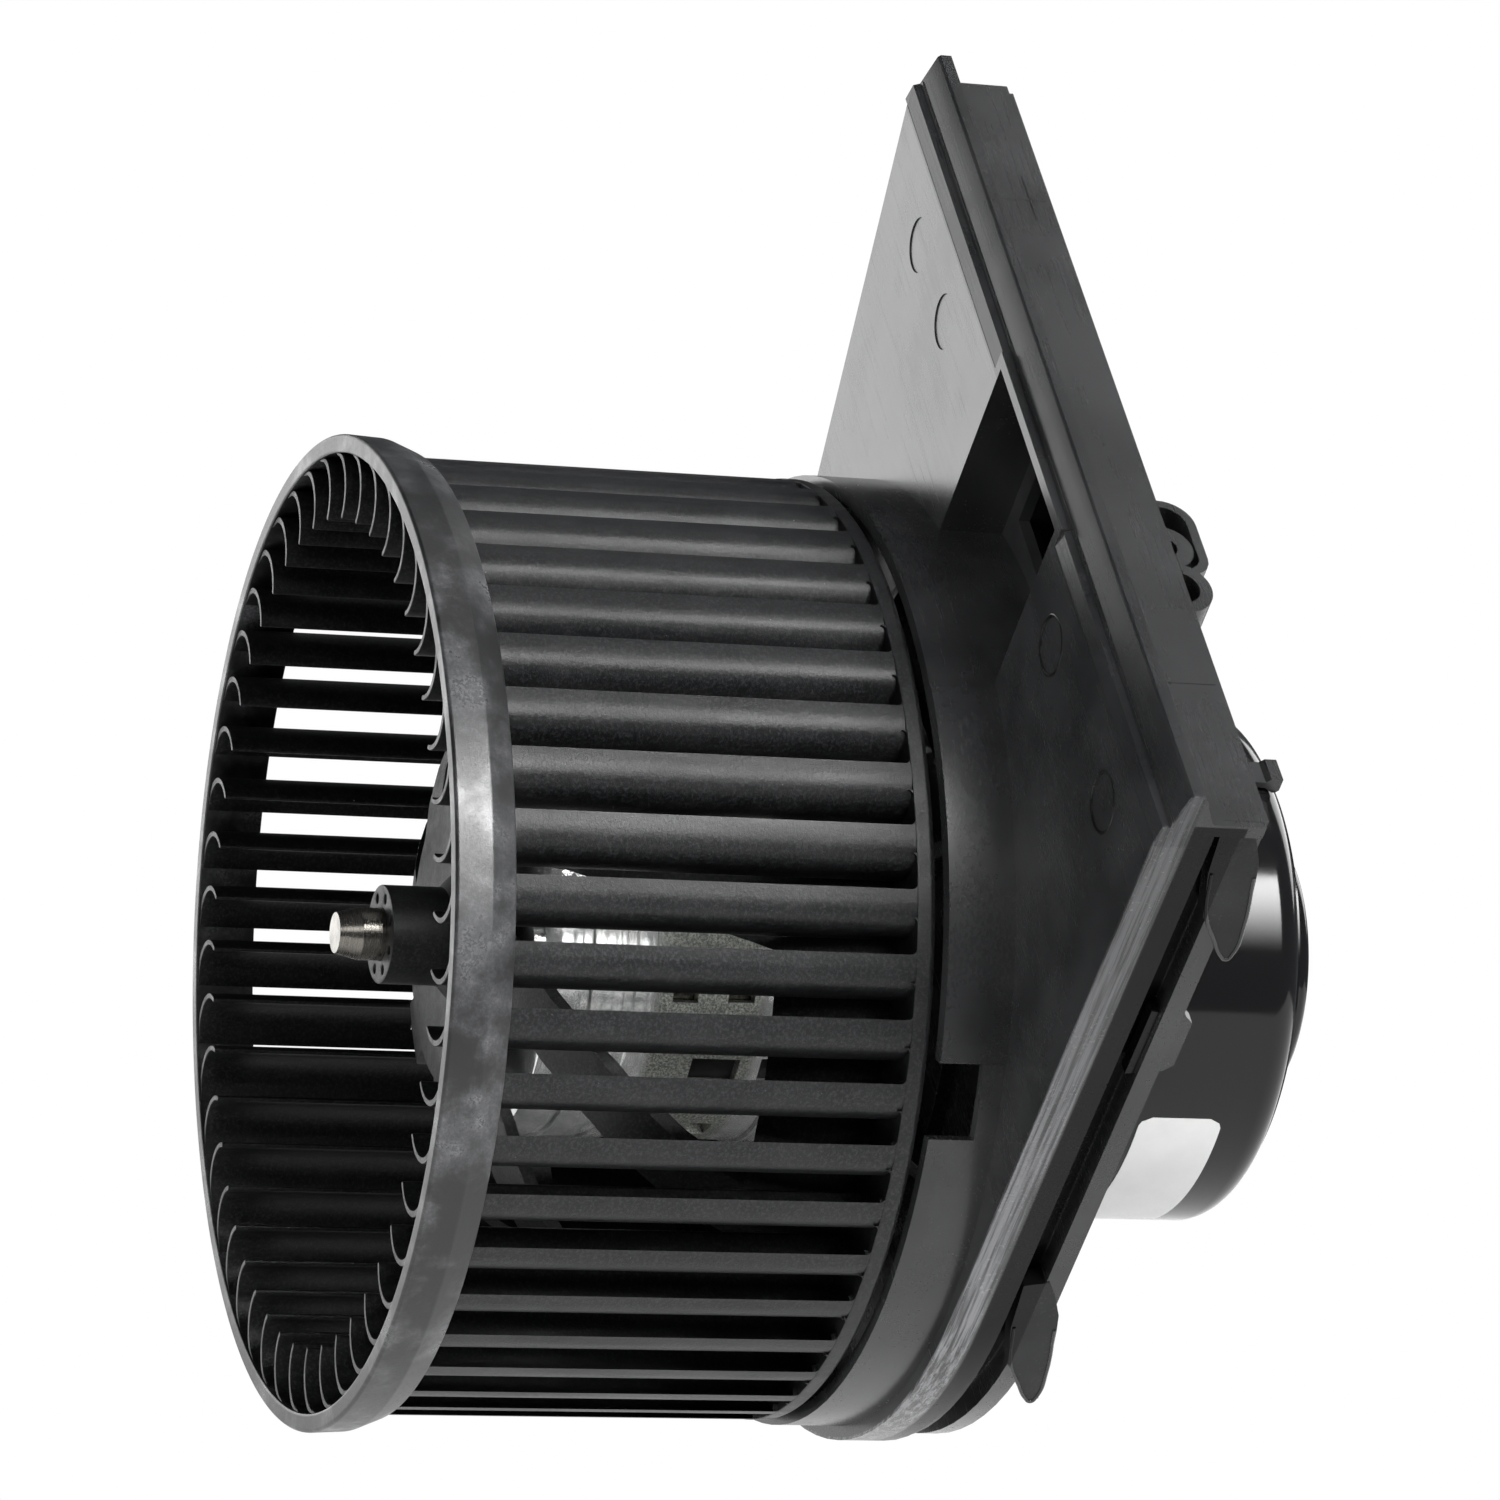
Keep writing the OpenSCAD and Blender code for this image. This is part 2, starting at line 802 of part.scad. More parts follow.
// (u, v, y) points from the brush card, out past the can, through the duct to the connector
function lead_route(i) = [
    [grommet_u, lead_v[i], card_y[1]],
    [grommet_u, lead_v[i], 40],
    [grommet_u, lead_v[i], 52.6],
    [22, lead_v[i], 54.6],
    [28, lead_v[i], 55.2],
    [32, lead_v[i], 54],
    [33.6, lead_v[i], 50],
    [33.8, lead_v[i], 36],
    [33.8, lead_v[i], 26],
    [35, lead_v[i], 21.5],
    [39, lead_v[i], 18.6],
    [46, lead_v[i], 17.4],
    [58, lead_v[i] - 1.5, 17],
    [70 + 2 * i, lead_v[i] - 2, 16],
    [77 + 2.4 * i, lead_v[i] + 1.5 - 2.5 * i, 14.8],
    [79 + 2.4 * i, 10, 14.4],
    [81 + 2.4 * i, 13 + 2 * i, 14.6],
    [83.6, barrel_v[i] - 0.4, 16],
    [85, barrel_v[i], barrel_y],
    [86.3, barrel_v[i], barrel_y]
];

module motor_leads() color("firebrick")
    for (i = [0, 1])
        tube_along([for (p = lead_route(i)) [half * (p[0] + p[1]), p[2], half * (p[0] - p[1])]], lead_r);

module lead_grommet() color("#101010")
    difference() {
        at_uv(grommet_u, 0, (lead_v[0] + lead_v[1]) / 2) {
            disc_y(4, [can_back - 0.8, can_back + 2]);
            disc_y(5, [can_back + 1.5, can_back + 2.6]);
            disc_y(5, [can_back - 1.2, can_back]);
        }
        for (v = lead_v)
            at_uv(grommet_u, 0, v)
                disc_y(lead_r, [can_back - 3, can_back + 4]);
    }

// ---- connector ----
// a (v, y) profile that reaches from u[0] to u[1]
module uv_section(profile, u)
    edge_frame()
        translate([u[0], 0, 0])
            rotate([0, 90, 0])
                linear_extrude(u[1] - u[0])
                    polygon(profile);

// rounded hood that grows out of the wider barrel and bends round the narrower one
function hood_outline() = concat(
    [[5.6, 17.2]],
    arc([10.6, 18], 5, 180, 90, 8),
    arc([17.6, 19.6], 3.4, 90, 20, 4),
    [[22.4, 19.4], [21.4, 18.6]],
    arc([17.4, 19.3], 2.3, 25, 90, 4),
    arc([10.6, 18], 3.6, 90, 180, 8),
    [[7, 17.2]]
);

module connector_housing() color("#1a1b1d")
    difference() {
        union() {
            uv_block([86.5, 96], [16.3, 29.5], [plate_t, 14]);
            for (i = [0, 1])
                uv_rod(barrel_r[i], barrel_u + [-1.5, 0], barrel_v[i], barrel_y);
            uv_section(hood_outline(), [91, 101.8]);
        }
        for (i = [0, 1])
            uv_rod(barrel_bore_r[i], barrel_u + [2, 3], barrel_v[i], barrel_y);
        scoop_clearance();
    }

// the connector stays clear of the scoop's walls
module scoop_clearance()
    uv_block([60, 104], [-30, scoop_v[1] + scoop_wall + 0.2], [-1, scoop_depth + scoop_wall]);

module connector_pins() color("silver")
    for (i = [0, 1])
        uv_rod(0.8, barrel_u + [2, -3], barrel_v[i], barrel_y);

module rubber_isolators() color("#222222") {
    tube_y(can_r + 1, can_r - 0.4, [-12, -4]);
    tube_y(can_r + 1, can_r - 0.4, [6, 12]);
    tube_y(nose_r - cover_t, seat_r + 2, [nose_y - cover_t - 8.6, nose_y - cover_t - 5]);
}

// ---- rear cover ----
module rear_cover() color("#0c0d0f")
    difference() {
        cover_shell();
        uv_block([30, 60], [-15, -6.5], [15, 25]);
        uv_block([30, 60], [1.8, 9.4], [15, 25]);
    }

module cover_shell()
    ring_y(concat(
        [[cover_r - cover_t, cover_front], [cover_r, cover_front]],
        arc([cover_r - 4.8, 55.6], 4.8, 0, 80, 8),
        [[36.4, 60.9], [35.7, 60.9], [35.2, 60.4], [26, 60.4]],
        arc([26, 62.4], 2, -90, -165, 4),
        [[nose_r + 0.4, nose_y - 3]],
        arc([nose_r - 2, nose_y - 2], 2, 0, 90, 5),
        [[7, nose_y], [6, nose_y - 0.8], [0, nose_y - 0.8]],
        [[0, nose_y - cover_t - 0.8], [nose_r - cover_t, nose_y - cover_t - 0.8]],
        [[nose_r - cover_t, 58.4], [36, 58.4], [cover_r - cover_t, 56]]
    ));

module cover_label() color("white")
    intersection() {
        tube_y(cover_r + 0.12, cover_r, [30, 60]);
        turn(-57.5)
            rotate([0, 90, 0])
                linear_extrude(60)
                    translate([-14.5, 37])
                        label_shape();
    }

module label_shape() {
    translate([2, 0])
        square([25, 13.5]);
    translate([0, 2])
        square([29, 9.5]);
    for (x = [2, 27])
        for (y = [2, 11.5])
            translate([x, y])
                circle(r = 2, $fn = 32);
}

wheel_front_rim();
wheel_blades();
wheel_back_ring();
wheel_web();
wheel_hub();
balance_clip();
motor_shaft();
armature_core();
armature_windings();
armature_end_discs();
commutator();
thrust_washers();
mounting_flange();
cooling_duct();
motor_cradle();
cradle_screws();
motor_can();
front_bell();
rear_cap();
through_bolts();
magnets();
magnet_clips();
front_bearing();
rear_bearing();
bearing_retainers();
oil_felts();
brush_card();
brush_holders();
upper_brush();
lower_brush();
upper_brush_spring();
lower_brush_spring();
choke_coils();
motor_leads();
lead_grommet();
connector_housing();
connector_pins();
rubber_isolators();
rear_cover();
cover_label();
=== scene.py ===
import json
import math

import bmesh
import bpy
from mathutils import Matrix, Vector


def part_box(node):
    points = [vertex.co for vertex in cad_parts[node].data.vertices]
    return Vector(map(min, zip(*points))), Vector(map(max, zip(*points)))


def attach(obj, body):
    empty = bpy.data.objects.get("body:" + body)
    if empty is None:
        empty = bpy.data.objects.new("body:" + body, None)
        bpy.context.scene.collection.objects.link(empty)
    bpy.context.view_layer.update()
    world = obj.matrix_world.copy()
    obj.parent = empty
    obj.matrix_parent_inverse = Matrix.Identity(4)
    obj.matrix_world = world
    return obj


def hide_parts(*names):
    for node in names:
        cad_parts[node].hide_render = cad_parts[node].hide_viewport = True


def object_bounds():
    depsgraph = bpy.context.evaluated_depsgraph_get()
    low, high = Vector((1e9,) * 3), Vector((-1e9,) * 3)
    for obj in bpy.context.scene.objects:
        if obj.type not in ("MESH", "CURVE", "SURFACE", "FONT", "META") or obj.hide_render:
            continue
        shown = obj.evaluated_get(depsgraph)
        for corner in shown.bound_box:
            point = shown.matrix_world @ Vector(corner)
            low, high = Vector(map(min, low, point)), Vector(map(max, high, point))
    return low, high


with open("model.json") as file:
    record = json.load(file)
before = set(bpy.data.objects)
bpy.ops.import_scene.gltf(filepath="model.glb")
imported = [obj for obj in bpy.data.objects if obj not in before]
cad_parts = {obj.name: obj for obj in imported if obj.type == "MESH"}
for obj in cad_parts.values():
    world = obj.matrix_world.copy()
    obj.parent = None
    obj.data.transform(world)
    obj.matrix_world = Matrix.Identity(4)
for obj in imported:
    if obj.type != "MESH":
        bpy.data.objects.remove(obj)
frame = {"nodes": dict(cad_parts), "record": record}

MM = 0.001
cad_box = [list(corner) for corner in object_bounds()]

# ---- sizes, worked out from the frame ----
rim_low, rim_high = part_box("wheel_front_rim")
blades_low, blades_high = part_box("wheel_blades")
ring_low, ring_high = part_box("wheel_back_ring")
cover_low, cover_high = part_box("rear_cover")
label_low, label_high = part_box("cover_label")

WHEEL_R = rim_high.z
WHEEL_FRONT = rim_low.y
BLADE_R = WHEEL_R - 2.8 * MM  # the caps' outer radius
BLADE_TIP_R = 62 * MM
CAP_ARC = 3.27  # degrees that one blade's cap takes up
SLOT_END = blades_high.y
BLADE_COUNT = 48
BLADE_PITCH = 2 * math.pi / BLADE_COUNT
FIRST_BLADE = math.radians(-2.5)
COVER_R = cover_high.z

# The flange's own axes lie at 45 degrees: u runs out across the long lip, v out across the lower edge.
LIP_U = 105 * MM  # skirt wall under the long lip
EDGE_V = 75.2 * MM  # lower edge, and the radius of the flange's round end
LIP_BACK = 4.9 * MM  # back of the long lip and front of the groove under the lower edge
GROOVE_BACK = 13 * MM
HOOK_V = EDGE_V - 1 * MM  # outer face of the snap hooks
HOOK_ROOTS = (103.9, 7.4)  # where the two hooks start, along u in millimetres


# ---- mesh helpers ----
def smooth_by_angle(mesh, degrees):
    """Smooth faces, with sharp edges where the surface turns by more than the given angle."""
    mesh.polygons.foreach_set("use_smooth", [True] * len(mesh.polygons))
    mesh.set_sharp_from_angle(angle=math.radians(degrees))


def make_object(name, vertices, faces, degrees=35):
    mesh = bpy.data.meshes.new(name)
    mesh.from_pydata(vertices, [], faces)
    work = bmesh.new()
    work.from_mesh(mesh)
    bmesh.ops.recalc_face_normals(work, faces=work.faces)
    work.to_mesh(mesh)
    work.free()
    mesh.update()
    smooth_by_angle(mesh, degrees)
    piece = bpy.data.objects.new(name, mesh)
    bpy.context.scene.collection.objects.link(piece)
    flat = piece.modifiers.new("flat_faces", "WEIGHTED_NORMAL")
    flat.keep_sharp = True
    return piece


def polar(radius, angle, y):
    return (radius * math.cos(angle), y, radius * math.sin(angle))


def arc(centre, radius, start, end, steps):
    """Points along a circular arc, between two angles in degrees."""
    angles = [math.radians(start + (end - start) * k / steps) for k in range(steps + 1)]
    return [(centre[0] + radius * math.cos(a), centre[1] + radius * math.sin(a)) for a in angles]


def lathe(name, profile, segments=256, degrees=35):
    """A closed (radius, y) profile turned about the Y axis."""
    count = len(profile)
    vertices = [polar(r, 2 * math.pi * i / segments, y) for i in range(segments) for r, y in profile]
    faces = []
    for i in range(segments):
        j = (i + 1) % segments
        for k in range(count):
            n = (k + 1) % count
            faces.append((i * count + k, i * count + n, j * count + n, j * count + k))
    return make_object(name, vertices, faces, degrees)


def round_corners(points, radius, steps=4):
    """Rounds every corner of a closed outline by the given radius, less where edges are short."""
    result = []
    count = len(points)
    for i, point in enumerate(points):
        here = Vector(point)
        to_last = Vector(points[i - 1]) - here
        to_next = Vector(points[(i + 1) % count]) - here
        reach = min(radius, to_last.length * 0.45, to_next.length * 0.45)
        start = here + to_last.normalized() * reach
        end = here + to_next.normalized() * reach
        for k in range(steps + 1):
            t = k / steps
            result.append(tuple(start * (1 - t) ** 2 + here * 2 * t * (1 - t) + end * t ** 2))
    return result


def tube(name, path, radius, sides=12):
    """A round wire along a smooth curve through the points."""
    curve = bpy.data.curves.new(name, "CURVE")
    curve.dimensions = "3D"
    curve.bevel_depth = radius
    curve.bevel_resolution = sides // 4
    spline = curve.splines.new("BEZIER")
    spline.bezier_points.add(len(path) - 1)
    for knot, place in zip(spline.bezier_points, path):
        knot.co = place
        knot.handle_left_type = "AUTO"
        knot.handle_right_type = "AUTO"
    curve.use_fill_caps = True
    piece = bpy.data.objects.new(name, curve)
    bpy.context.scene.collection.objects.link(piece)
    return piece


def node_group(name):
    """An empty geometry node group, with its input and output nodes."""
    group = bpy.data.node_groups.new(name, "GeometryNodeTree")
    group.interface.new_socket("Geometry", in_out="INPUT", socket_type="NodeSocketGeometry")
    group.interface.new_socket("Geometry", in_out="OUTPUT", socket_type="NodeSocketGeometry")
    return group, group.nodes.new("NodeGroupInput"), group.nodes.new("NodeGroupOutput")


def steep_edges(group, output, degrees):
    """A selection of the edges whose faces turn by more than the given angle."""
    angle = group.nodes.new("GeometryNodeInputMeshEdgeAngle")
    limit = group.nodes.new("FunctionNodeCompare")
    limit.operation = "GREATER_THAN"
    limit.inputs[1].default_value = math.radians(degrees)
    group.links.new(angle.outputs[output], limit.inputs[0])
    return limit.outputs[0]


def convex_marker():
    """Marks the outward edges, so that only they are rounded."""
    group, source, result = node_group("mark_outward_edges")
    store = group.nodes.new("GeometryNodeStoreNamedAttribute")
    store.domain = "EDGE"
    store.data_type = "FLOAT"
    store.inputs["Name"].default_value = "bevel_weight_edge"
    group.links.new(source.outputs[0], store.inputs["Geometry"])
    group.links.new(steep_edges(group, "Signed Angle", 40), store.inputs["Value"])
    group.links.new(store.outputs[0], result.inputs[0])
    return group


def edge_softener(degrees):
    """Smooths faces and keeps the edges sharp that turn by more than the given angle."""
    group, source, result = node_group("soft_shading_%d" % degrees)
    faces = group.nodes.new("GeometryNodeSetShadeSmooth")
    edges = group.nodes.new("GeometryNodeSetShadeSmooth")
    edges.domain = "EDGE"
    edges.inputs["Shade Smooth"].default_value = False
    group.links.new(source.outputs[0], faces.inputs["Geometry"])
    group.links.new(faces.outputs[0], edges.inputs["Geometry"])
    group.links.new(steep_edges(group, "Unsigned Angle", degrees), edges.inputs["Selection"])
    group.links.new(edges.outputs[0], result.inputs[0])
    return group


MARKER = convex_marker()
SOFTENERS = {degrees: edge_softener(degrees) for degrees in (12, 32)}


def soften(node, width=0.25, segments=2, sharp=32):
    """Rounds the outward edges of a CAD node by a width in millimetres, with modifiers only."""
    piece = frame["nodes"][node]
    weld = piece.modifiers.new("weld", "WELD")
    weld.merge_threshold = 0.002 * MM
    if width:
        marks = piece.modifiers.new("marks", "NODES")
        marks.node_group = MARKER
        bevel = piece.modifiers.new("bevel", "BEVEL")
        bevel.width = width * MM
        bevel.segments = segments
        bevel.limit_method = "WEIGHT"
        bevel.use_clamp_overlap = True
    shading = piece.modifiers.new("shading", "NODES")
    shading.node_group = SOFTENERS[sharp]
    if width:
        flat = piece.modifiers.new("flat_faces", "WEIGHTED_NORMAL")
        flat.keep_sharp = True
    return piece


# ---- material helpers ----
class Paint:
    """A Principled material with short calls for the procedural nodes it needs."""

    def __init__(self, name, colour, roughness, metallic=0.0, specular=0.5, coat=0.0, coat_roughness=0.05):
        self.material = bpy.data.materials.new(name)
        self.material.use_nodes = True
        self.tree = self.material.node_tree
        self.shader = self.tree.nodes["Principled BSDF"]
        self.set("Base Color", (*colour, 1))
        self.set("Roughness", roughness)
        self.set("Metallic", metallic)
        self.set("Specular IOR Level", specular)
        self.set("Coat Weight", coat)
        self.set("Coat Roughness", coat_roughness)
        self.place = self.tree.nodes.new("ShaderNodeTexCoord").outputs["Object"]
        self.height = None

    def set(self, socket, value):
        self.shader.inputs[socket].default_value = value

    def link(self, start, end):
        self.tree.links.new(start, end)

    def stretched(self, scale):
        node = self.tree.nodes.new("ShaderNodeMapping")
        node.inputs["Scale"].default_value = scale
        self.link(self.place, node.inputs["Vector"])
        return node.outputs[0]

    def noise(self, size, detail=3.0, stretch=(1, 1, 1), rough=0.55):
        """Noise whose features are about size millimetres across."""
        node = self.tree.nodes.new("ShaderNodeTexNoise")
        node.inputs["Scale"].default_value = 1 / (size * MM)
        node.inputs["Detail"].default_value = detail
        node.inputs["Roughness"].default_value = rough
        self.link(self.stretched(stretch), node.inputs["Vector"])
        return node.outputs["Fac"]

    def ramp(self, value, low, high, out_low=0.0, out_high=1.0, smooth=True):
        node = self.tree.nodes.new("ShaderNodeMapRange")
        node.interpolation_type = "SMOOTHSTEP" if smooth else "LINEAR"
        node.inputs["From Min"].default_value = low
        node.inputs["From Max"].default_value = high
        node.inputs["To Min"].default_value = out_low
        node.inputs["To Max"].default_value = out_high
        self.link(value, node.inputs["Value"])
        return node.outputs["Result"]

    def math(self, operation, a, b):
        node = self.tree.nodes.new("ShaderNodeMath")
        node.operation = operation
        for socket, value in zip(node.inputs, (a, b)):
            if isinstance(value, (int, float)):
                socket.default_value = value
            else:
                self.link(value, socket)
        return node.outputs[0]

    def product(self, *values):
        result = values[0]
        for value in values[1:]:
            result = self.math("MULTIPLY", result, value)
        return result

    def mix(self, factor, a, b):
        node = self.tree.nodes.new("ShaderNodeMix")
        node.data_type = "RGBA"
        self.link(factor, node.inputs["Factor"])
        for socket, value in ((node.inputs[6], a), (node.inputs[7], b)):
            if isinstance(value, tuple):
                socket.default_value = (*value, 1)
            else:
                self.link(value, socket)
        return node.outputs[2]

    def axis(self, letter):
        node = self.tree.nodes.new("ShaderNodeSeparateXYZ")
        self.link(self.place, node.inputs[0])
        return node.outputs[letter]

    def specks(self, spacing, radius, share):
        """Scattered round dots: 1 inside a dot, 0 elsewhere, with sizes in millimetres."""
        node = self.tree.nodes.new("ShaderNodeTexVoronoi")
        node.inputs["Scale"].default_value = 1 / (spacing * MM)
        self.link(self.place, node.inputs["Vector"])
        dot = self.ramp(node.outputs["Distance"], radius / spacing * 0.6, radius / spacing, 1, 0)
        split = self.tree.nodes.new("ShaderNodeSeparateColor")
        self.link(node.outputs["Color"], split.inputs[0])
        chosen = self.math("LESS_THAN", split.outputs[0], share)
        return self.math("MULTIPLY", dot, chosen)

    def bump(self, height, depth, strength=1.0):
        """Adds a bump of the given depth in millimetres."""
        node = self.tree.nodes.new("ShaderNodeBump")
        node.inputs["Distance"].default_value = depth * MM
        node.inputs["Strength"].default_value = strength
        self.link(height, node.inputs["Height"])
        if self.height is not None:
            self.link(self.height, node.inputs["Normal"])
        self.height = node.outputs["Normal"]
        self.link(self.height, self.shader.inputs["Normal"])

    def colour(self, value):
        self.link(value, self.shader.inputs["Base Color"])

    def roughness(self, value):
        self.link(value, self.shader.inputs["Roughness"])


# ---- materials ----
def wheel_plastic():
    """Black glass-filled plastic: satin, finely grained, with flow streaks, wear and a little dust."""
    p = Paint("wheel_plastic", (0.01, 0.01, 0.0105), 0.42, specular=0.31)
    cloud = p.ramp(p.noise(9, 4), 0.35, 0.7)
    grain = p.ramp(p.noise(0.55, 4, rough=0.85), 0.46, 0.64)
    base = p.mix(cloud, (0.0045, 0.0048, 0.0052), (0.009, 0.0092, 0.0098))
    base = p.mix(p.math("MULTIPLY", grain, 0.7), base, (0.034, 0.035, 0.037))
    dust = p.specks(6.0, 0.15, 0.2)
    fine_dust = p.specks(2.1, 0.07, 0.22)
    base = p.mix(p.math("MAXIMUM", dust, p.math("MULTIPLY", fine_dust, 0.5)), base, (0.34, 0.34, 0.33))
    p.colour(base)
    streak = p.noise(3, 4, stretch=(1, 0.12, 1))
    rough = p.math("ADD", p.ramp(streak, 0.3, 0.75, 0.3, 0.44), p.math("MULTIPLY", grain, 0.12))
    p.roughness(rough)
    p.bump(p.noise(0.55, 4, rough=0.85), 0.08, 0.9)
    p.bump(p.noise(5.0, 2), 0.12, 0.3)
    return p.material


def rim_plastic():
    """The same plastic, rubbed smooth by handling, with soft whitish patches round the rim that are partly
    scuffs and partly a painted highlight.
    """
    p = Paint("rim_plastic", (0.015, 0.015, 0.016), 0.4, specular=0.5)
    patch = p.ramp(p.noise(12, 6, rough=0.62), 0.42, 0.74)
    grain = p.ramp(p.noise(0.5, 3, rough=0.75), 0.36, 0.7)
    # Whitish patches: partly scuffs, partly a painted highlight where the key light would catch the rim.
    scuffs_and_highlight = p.math("MULTIPLY", patch, p.ramp(grain, 0, 1, 0.55, 1.0))
    base = p.mix(scuffs_and_highlight, (0.011, 0.0112, 0.0118), (0.14, 0.142, 0.148))
    p.colour(p.mix(p.specks(7.0, 0.15, 0.2), base, (0.34, 0.34, 0.33)))
    p.roughness(p.math("ADD", p.ramp(patch, 0, 1, 0.36, 0.22), p.math("MULTIPLY", grain, 0.06)))
    p.bump(p.noise(0.5, 4, rough=0.75), 0.04, 0.6)
    p.bump(p.noise(7.0, 2), 0.06, 0.25)
    return p.material


def flange_regions(p, edge_streak):
    """Masks from 0 to 1: a pale streaky band on the front of the lower edge, a painted reflection of the
    floor; painted shade in the groove; and where the specular level is lowered, as painted shade on the lip
    and in the groove, and on the hooks' outer faces.
    """
    x, y, z = p.axis("X"), p.axis("Y"), p.axis("Z")
    v = p.math("MULTIPLY", p.math("SUBTRACT", x, z), math.sqrt(0.5))
    u = p.math("MULTIPLY", p.math("ADD", x, z), math.sqrt(0.5))
    radius = p.math("SQRT", p.math("ADD", p.math("MULTIPLY", x, x), p.math("MULTIPLY", z, z)), 0)
    reach = p.math("MAXIMUM", v, p.math("MULTIPLY", radius, p.math("LESS_THAN", u, 0)))
    # Painted reflection: the front of the lower edge is painted pale in streaks, fading along u and v, as the
    # floor would reflect in it.
    painted_floor_reflection = p.product(
        p.ramp(reach, EDGE_V - 0.6 * MM, EDGE_V - 0.3 * MM),
        p.ramp(y, LIP_BACK - 0.5 * MM, LIP_BACK, 1, 0),
        p.ramp(edge_streak, 0.42, 0.6, 0.08, 1.0),
        p.ramp(u, -20 * MM, 100 * MM, 1.0, 0.35),
        p.ramp(v, 20 * MM, 45 * MM),
    )
    # Painted shade: the groove under the lower edge, darkened as if in its own shadow.
    painted_groove_shade = p.product(
        p.ramp(y, LIP_BACK - 0.2 * MM, LIP_BACK + 0.2 * MM),
        p.ramp(y, GROOVE_BACK - 0.3 * MM, GROOVE_BACK, 1, 0),
        p.ramp(reach, EDGE_V - 12 * MM, EDGE_V - 11.5 * MM),
        p.ramp(u, LIP_U - 0.6 * MM, LIP_U - 0.3 * MM, 1, 0),
    )
    # The lip, where a lower specular level is painted shade.
    lip = p.product(
        p.ramp(u, 100.2 * MM, 100.6 * MM),
        p.ramp(y, LIP_BACK - 0.3 * MM, LIP_BACK + 0.3 * MM, 1, 0),
    )
    hooks = p.product(
        p.ramp(y, 9 * MM, 9.5 * MM),
        p.ramp(v, HOOK_V - 0.12 * MM, HOOK_V - 0.06 * MM),
        p.ramp(v, HOOK_V + 0.02 * MM, HOOK_V + 0.06 * MM, 1, 0),
    )
    # Where the specular level is lowered: painted shade on the lip and in the groove, and the hooks' outer
    # faces.
    dull = p.math("MAXIMUM", painted_groove_shade, p.math("MULTIPLY", lip, 0.55))
    return painted_floor_reflection, painted_groove_shade, p.math("MAXIMUM", dull, p.math("MULTIPLY", hooks, 0.9))


def flange_plastic():
    """Semi-gloss black plastic: flow marks, scuffs and dust, a pale streaky lower edge painted in as the
    floor's reflection, painted shade in the groove, and a lower specular level on the lip, the groove and the
    hooks.
    """
    p = Paint("flange_plastic", (0.012, 0.0125, 0.0132), 0.25, specular=0.5)
    cloud = p.ramp(p.noise(18, 5), 0.32, 0.68)
    base = p.mix(cloud, (0.009, 0.0093, 0.0098), (0.019, 0.0194, 0.0202))
    dust = p.specks(9.0, 0.15, 0.16)
    fine_dust = p.specks(3.0, 0.07, 0.12)
    base = p.mix(p.math("MAXIMUM", dust, p.math("MULTIPLY", fine_dust, 0.5)), base, (0.35, 0.35, 0.34))
    turned = p.tree.nodes.new("ShaderNodeMapping")
    turned.inputs["Rotation"].default_value = (0, math.radians(-45), 0)
    p.link(p.place, turned.inputs["Vector"])
    plain_place, p.place = p.place, turned.outputs[0]
    streak = p.noise(0.7, 4, stretch=(0.03, 1, 1), rough=0.65)
    edge_streak = p.noise(0.9, 5, stretch=(1, 1, 0.025), rough=0.7)
    p.place = plain_place
    painted_floor_reflection, painted_groove_shade, dull = flange_regions(p, edge_streak)
    # Painted reflection of the floor, as pale streaks on the lower edge's front band.
    base = p.mix(painted_floor_reflection, base, (0.16, 0.162, 0.168))
    # Painted shade: the groove is darkened nearly to black.
    p.colour(p.mix(p.math("MULTIPLY", painted_groove_shade, 0.85), base, (0.0005, 0.0005, 0.0005)))
    # Lower specular level on the lip, in the groove and on the hooks' outer faces; on the lip and in the
    # groove this darkens their reflections as painted shade.
    p.link(p.ramp(dull, 0, 1, 0.5, 0.14), p.shader.inputs["Specular IOR Level"])
    scuff = p.ramp(p.noise(16, 6, rough=0.65), 0.42, 0.8, 0.0, 0.07)
    scuff = p.math("ADD", scuff, p.ramp(streak, 0.45, 0.75, 0.0, 0.06))
    p.roughness(p.math("ADD", p.ramp(p.noise(45, 3), 0.3, 0.7, 0.2, 0.27), scuff))
    p.bump(streak, 0.005, 0.25)
    p.bump(p.noise(0.8, 3), 0.012, 0.4)
    p.bump(p.noise(28, 2), 0.3, 0.25)
    return p.material


def cover_black():
    """Deep gloss black paint with a slight orange peel."""
    black = (0.006, 0.006, 0.0065)
    p = Paint("cover_black", black, 0.12, specular=0.3)
    p.roughness(p.ramp(p.noise(30, 4), 0.35, 0.75, 0.09, 0.17))
    p.colour(p.mix(p.specks(8.0, 0.12, 0.15), black, (0.3, 0.3, 0.3)))
    p.bump(p.noise(2.2, 2), 0.008, 0.5)
    return p.material


def bright_metal(name, colour, rough, turned=False):
    """Bare or plated metal with fine tool marks, drawn or turned about the motor axis."""
    p = Paint(name, colour, rough, metallic=1.0)
    stretch = (0.06, 1, 0.06) if turned else (1, 1, 1)
    lines = p.noise(0.16, 3, stretch=stretch)
    blotch = p.ramp(p.noise(5, 4), 0.3, 0.7)
    darker = tuple(c * 0.72 for c in colour)
    p.colour(p.mix(blotch, darker, colour))
    tool_marks = p.ramp(lines, 0.3, 0.7, rough * 0.7, rough * 1.25)
    p.roughness(p.math("ADD", tool_marks, p.math("MULTIPLY", blotch, 0.05)))
    p.bump(lines, 0.006 if turned else 0.012, 0.6)
    return p.material


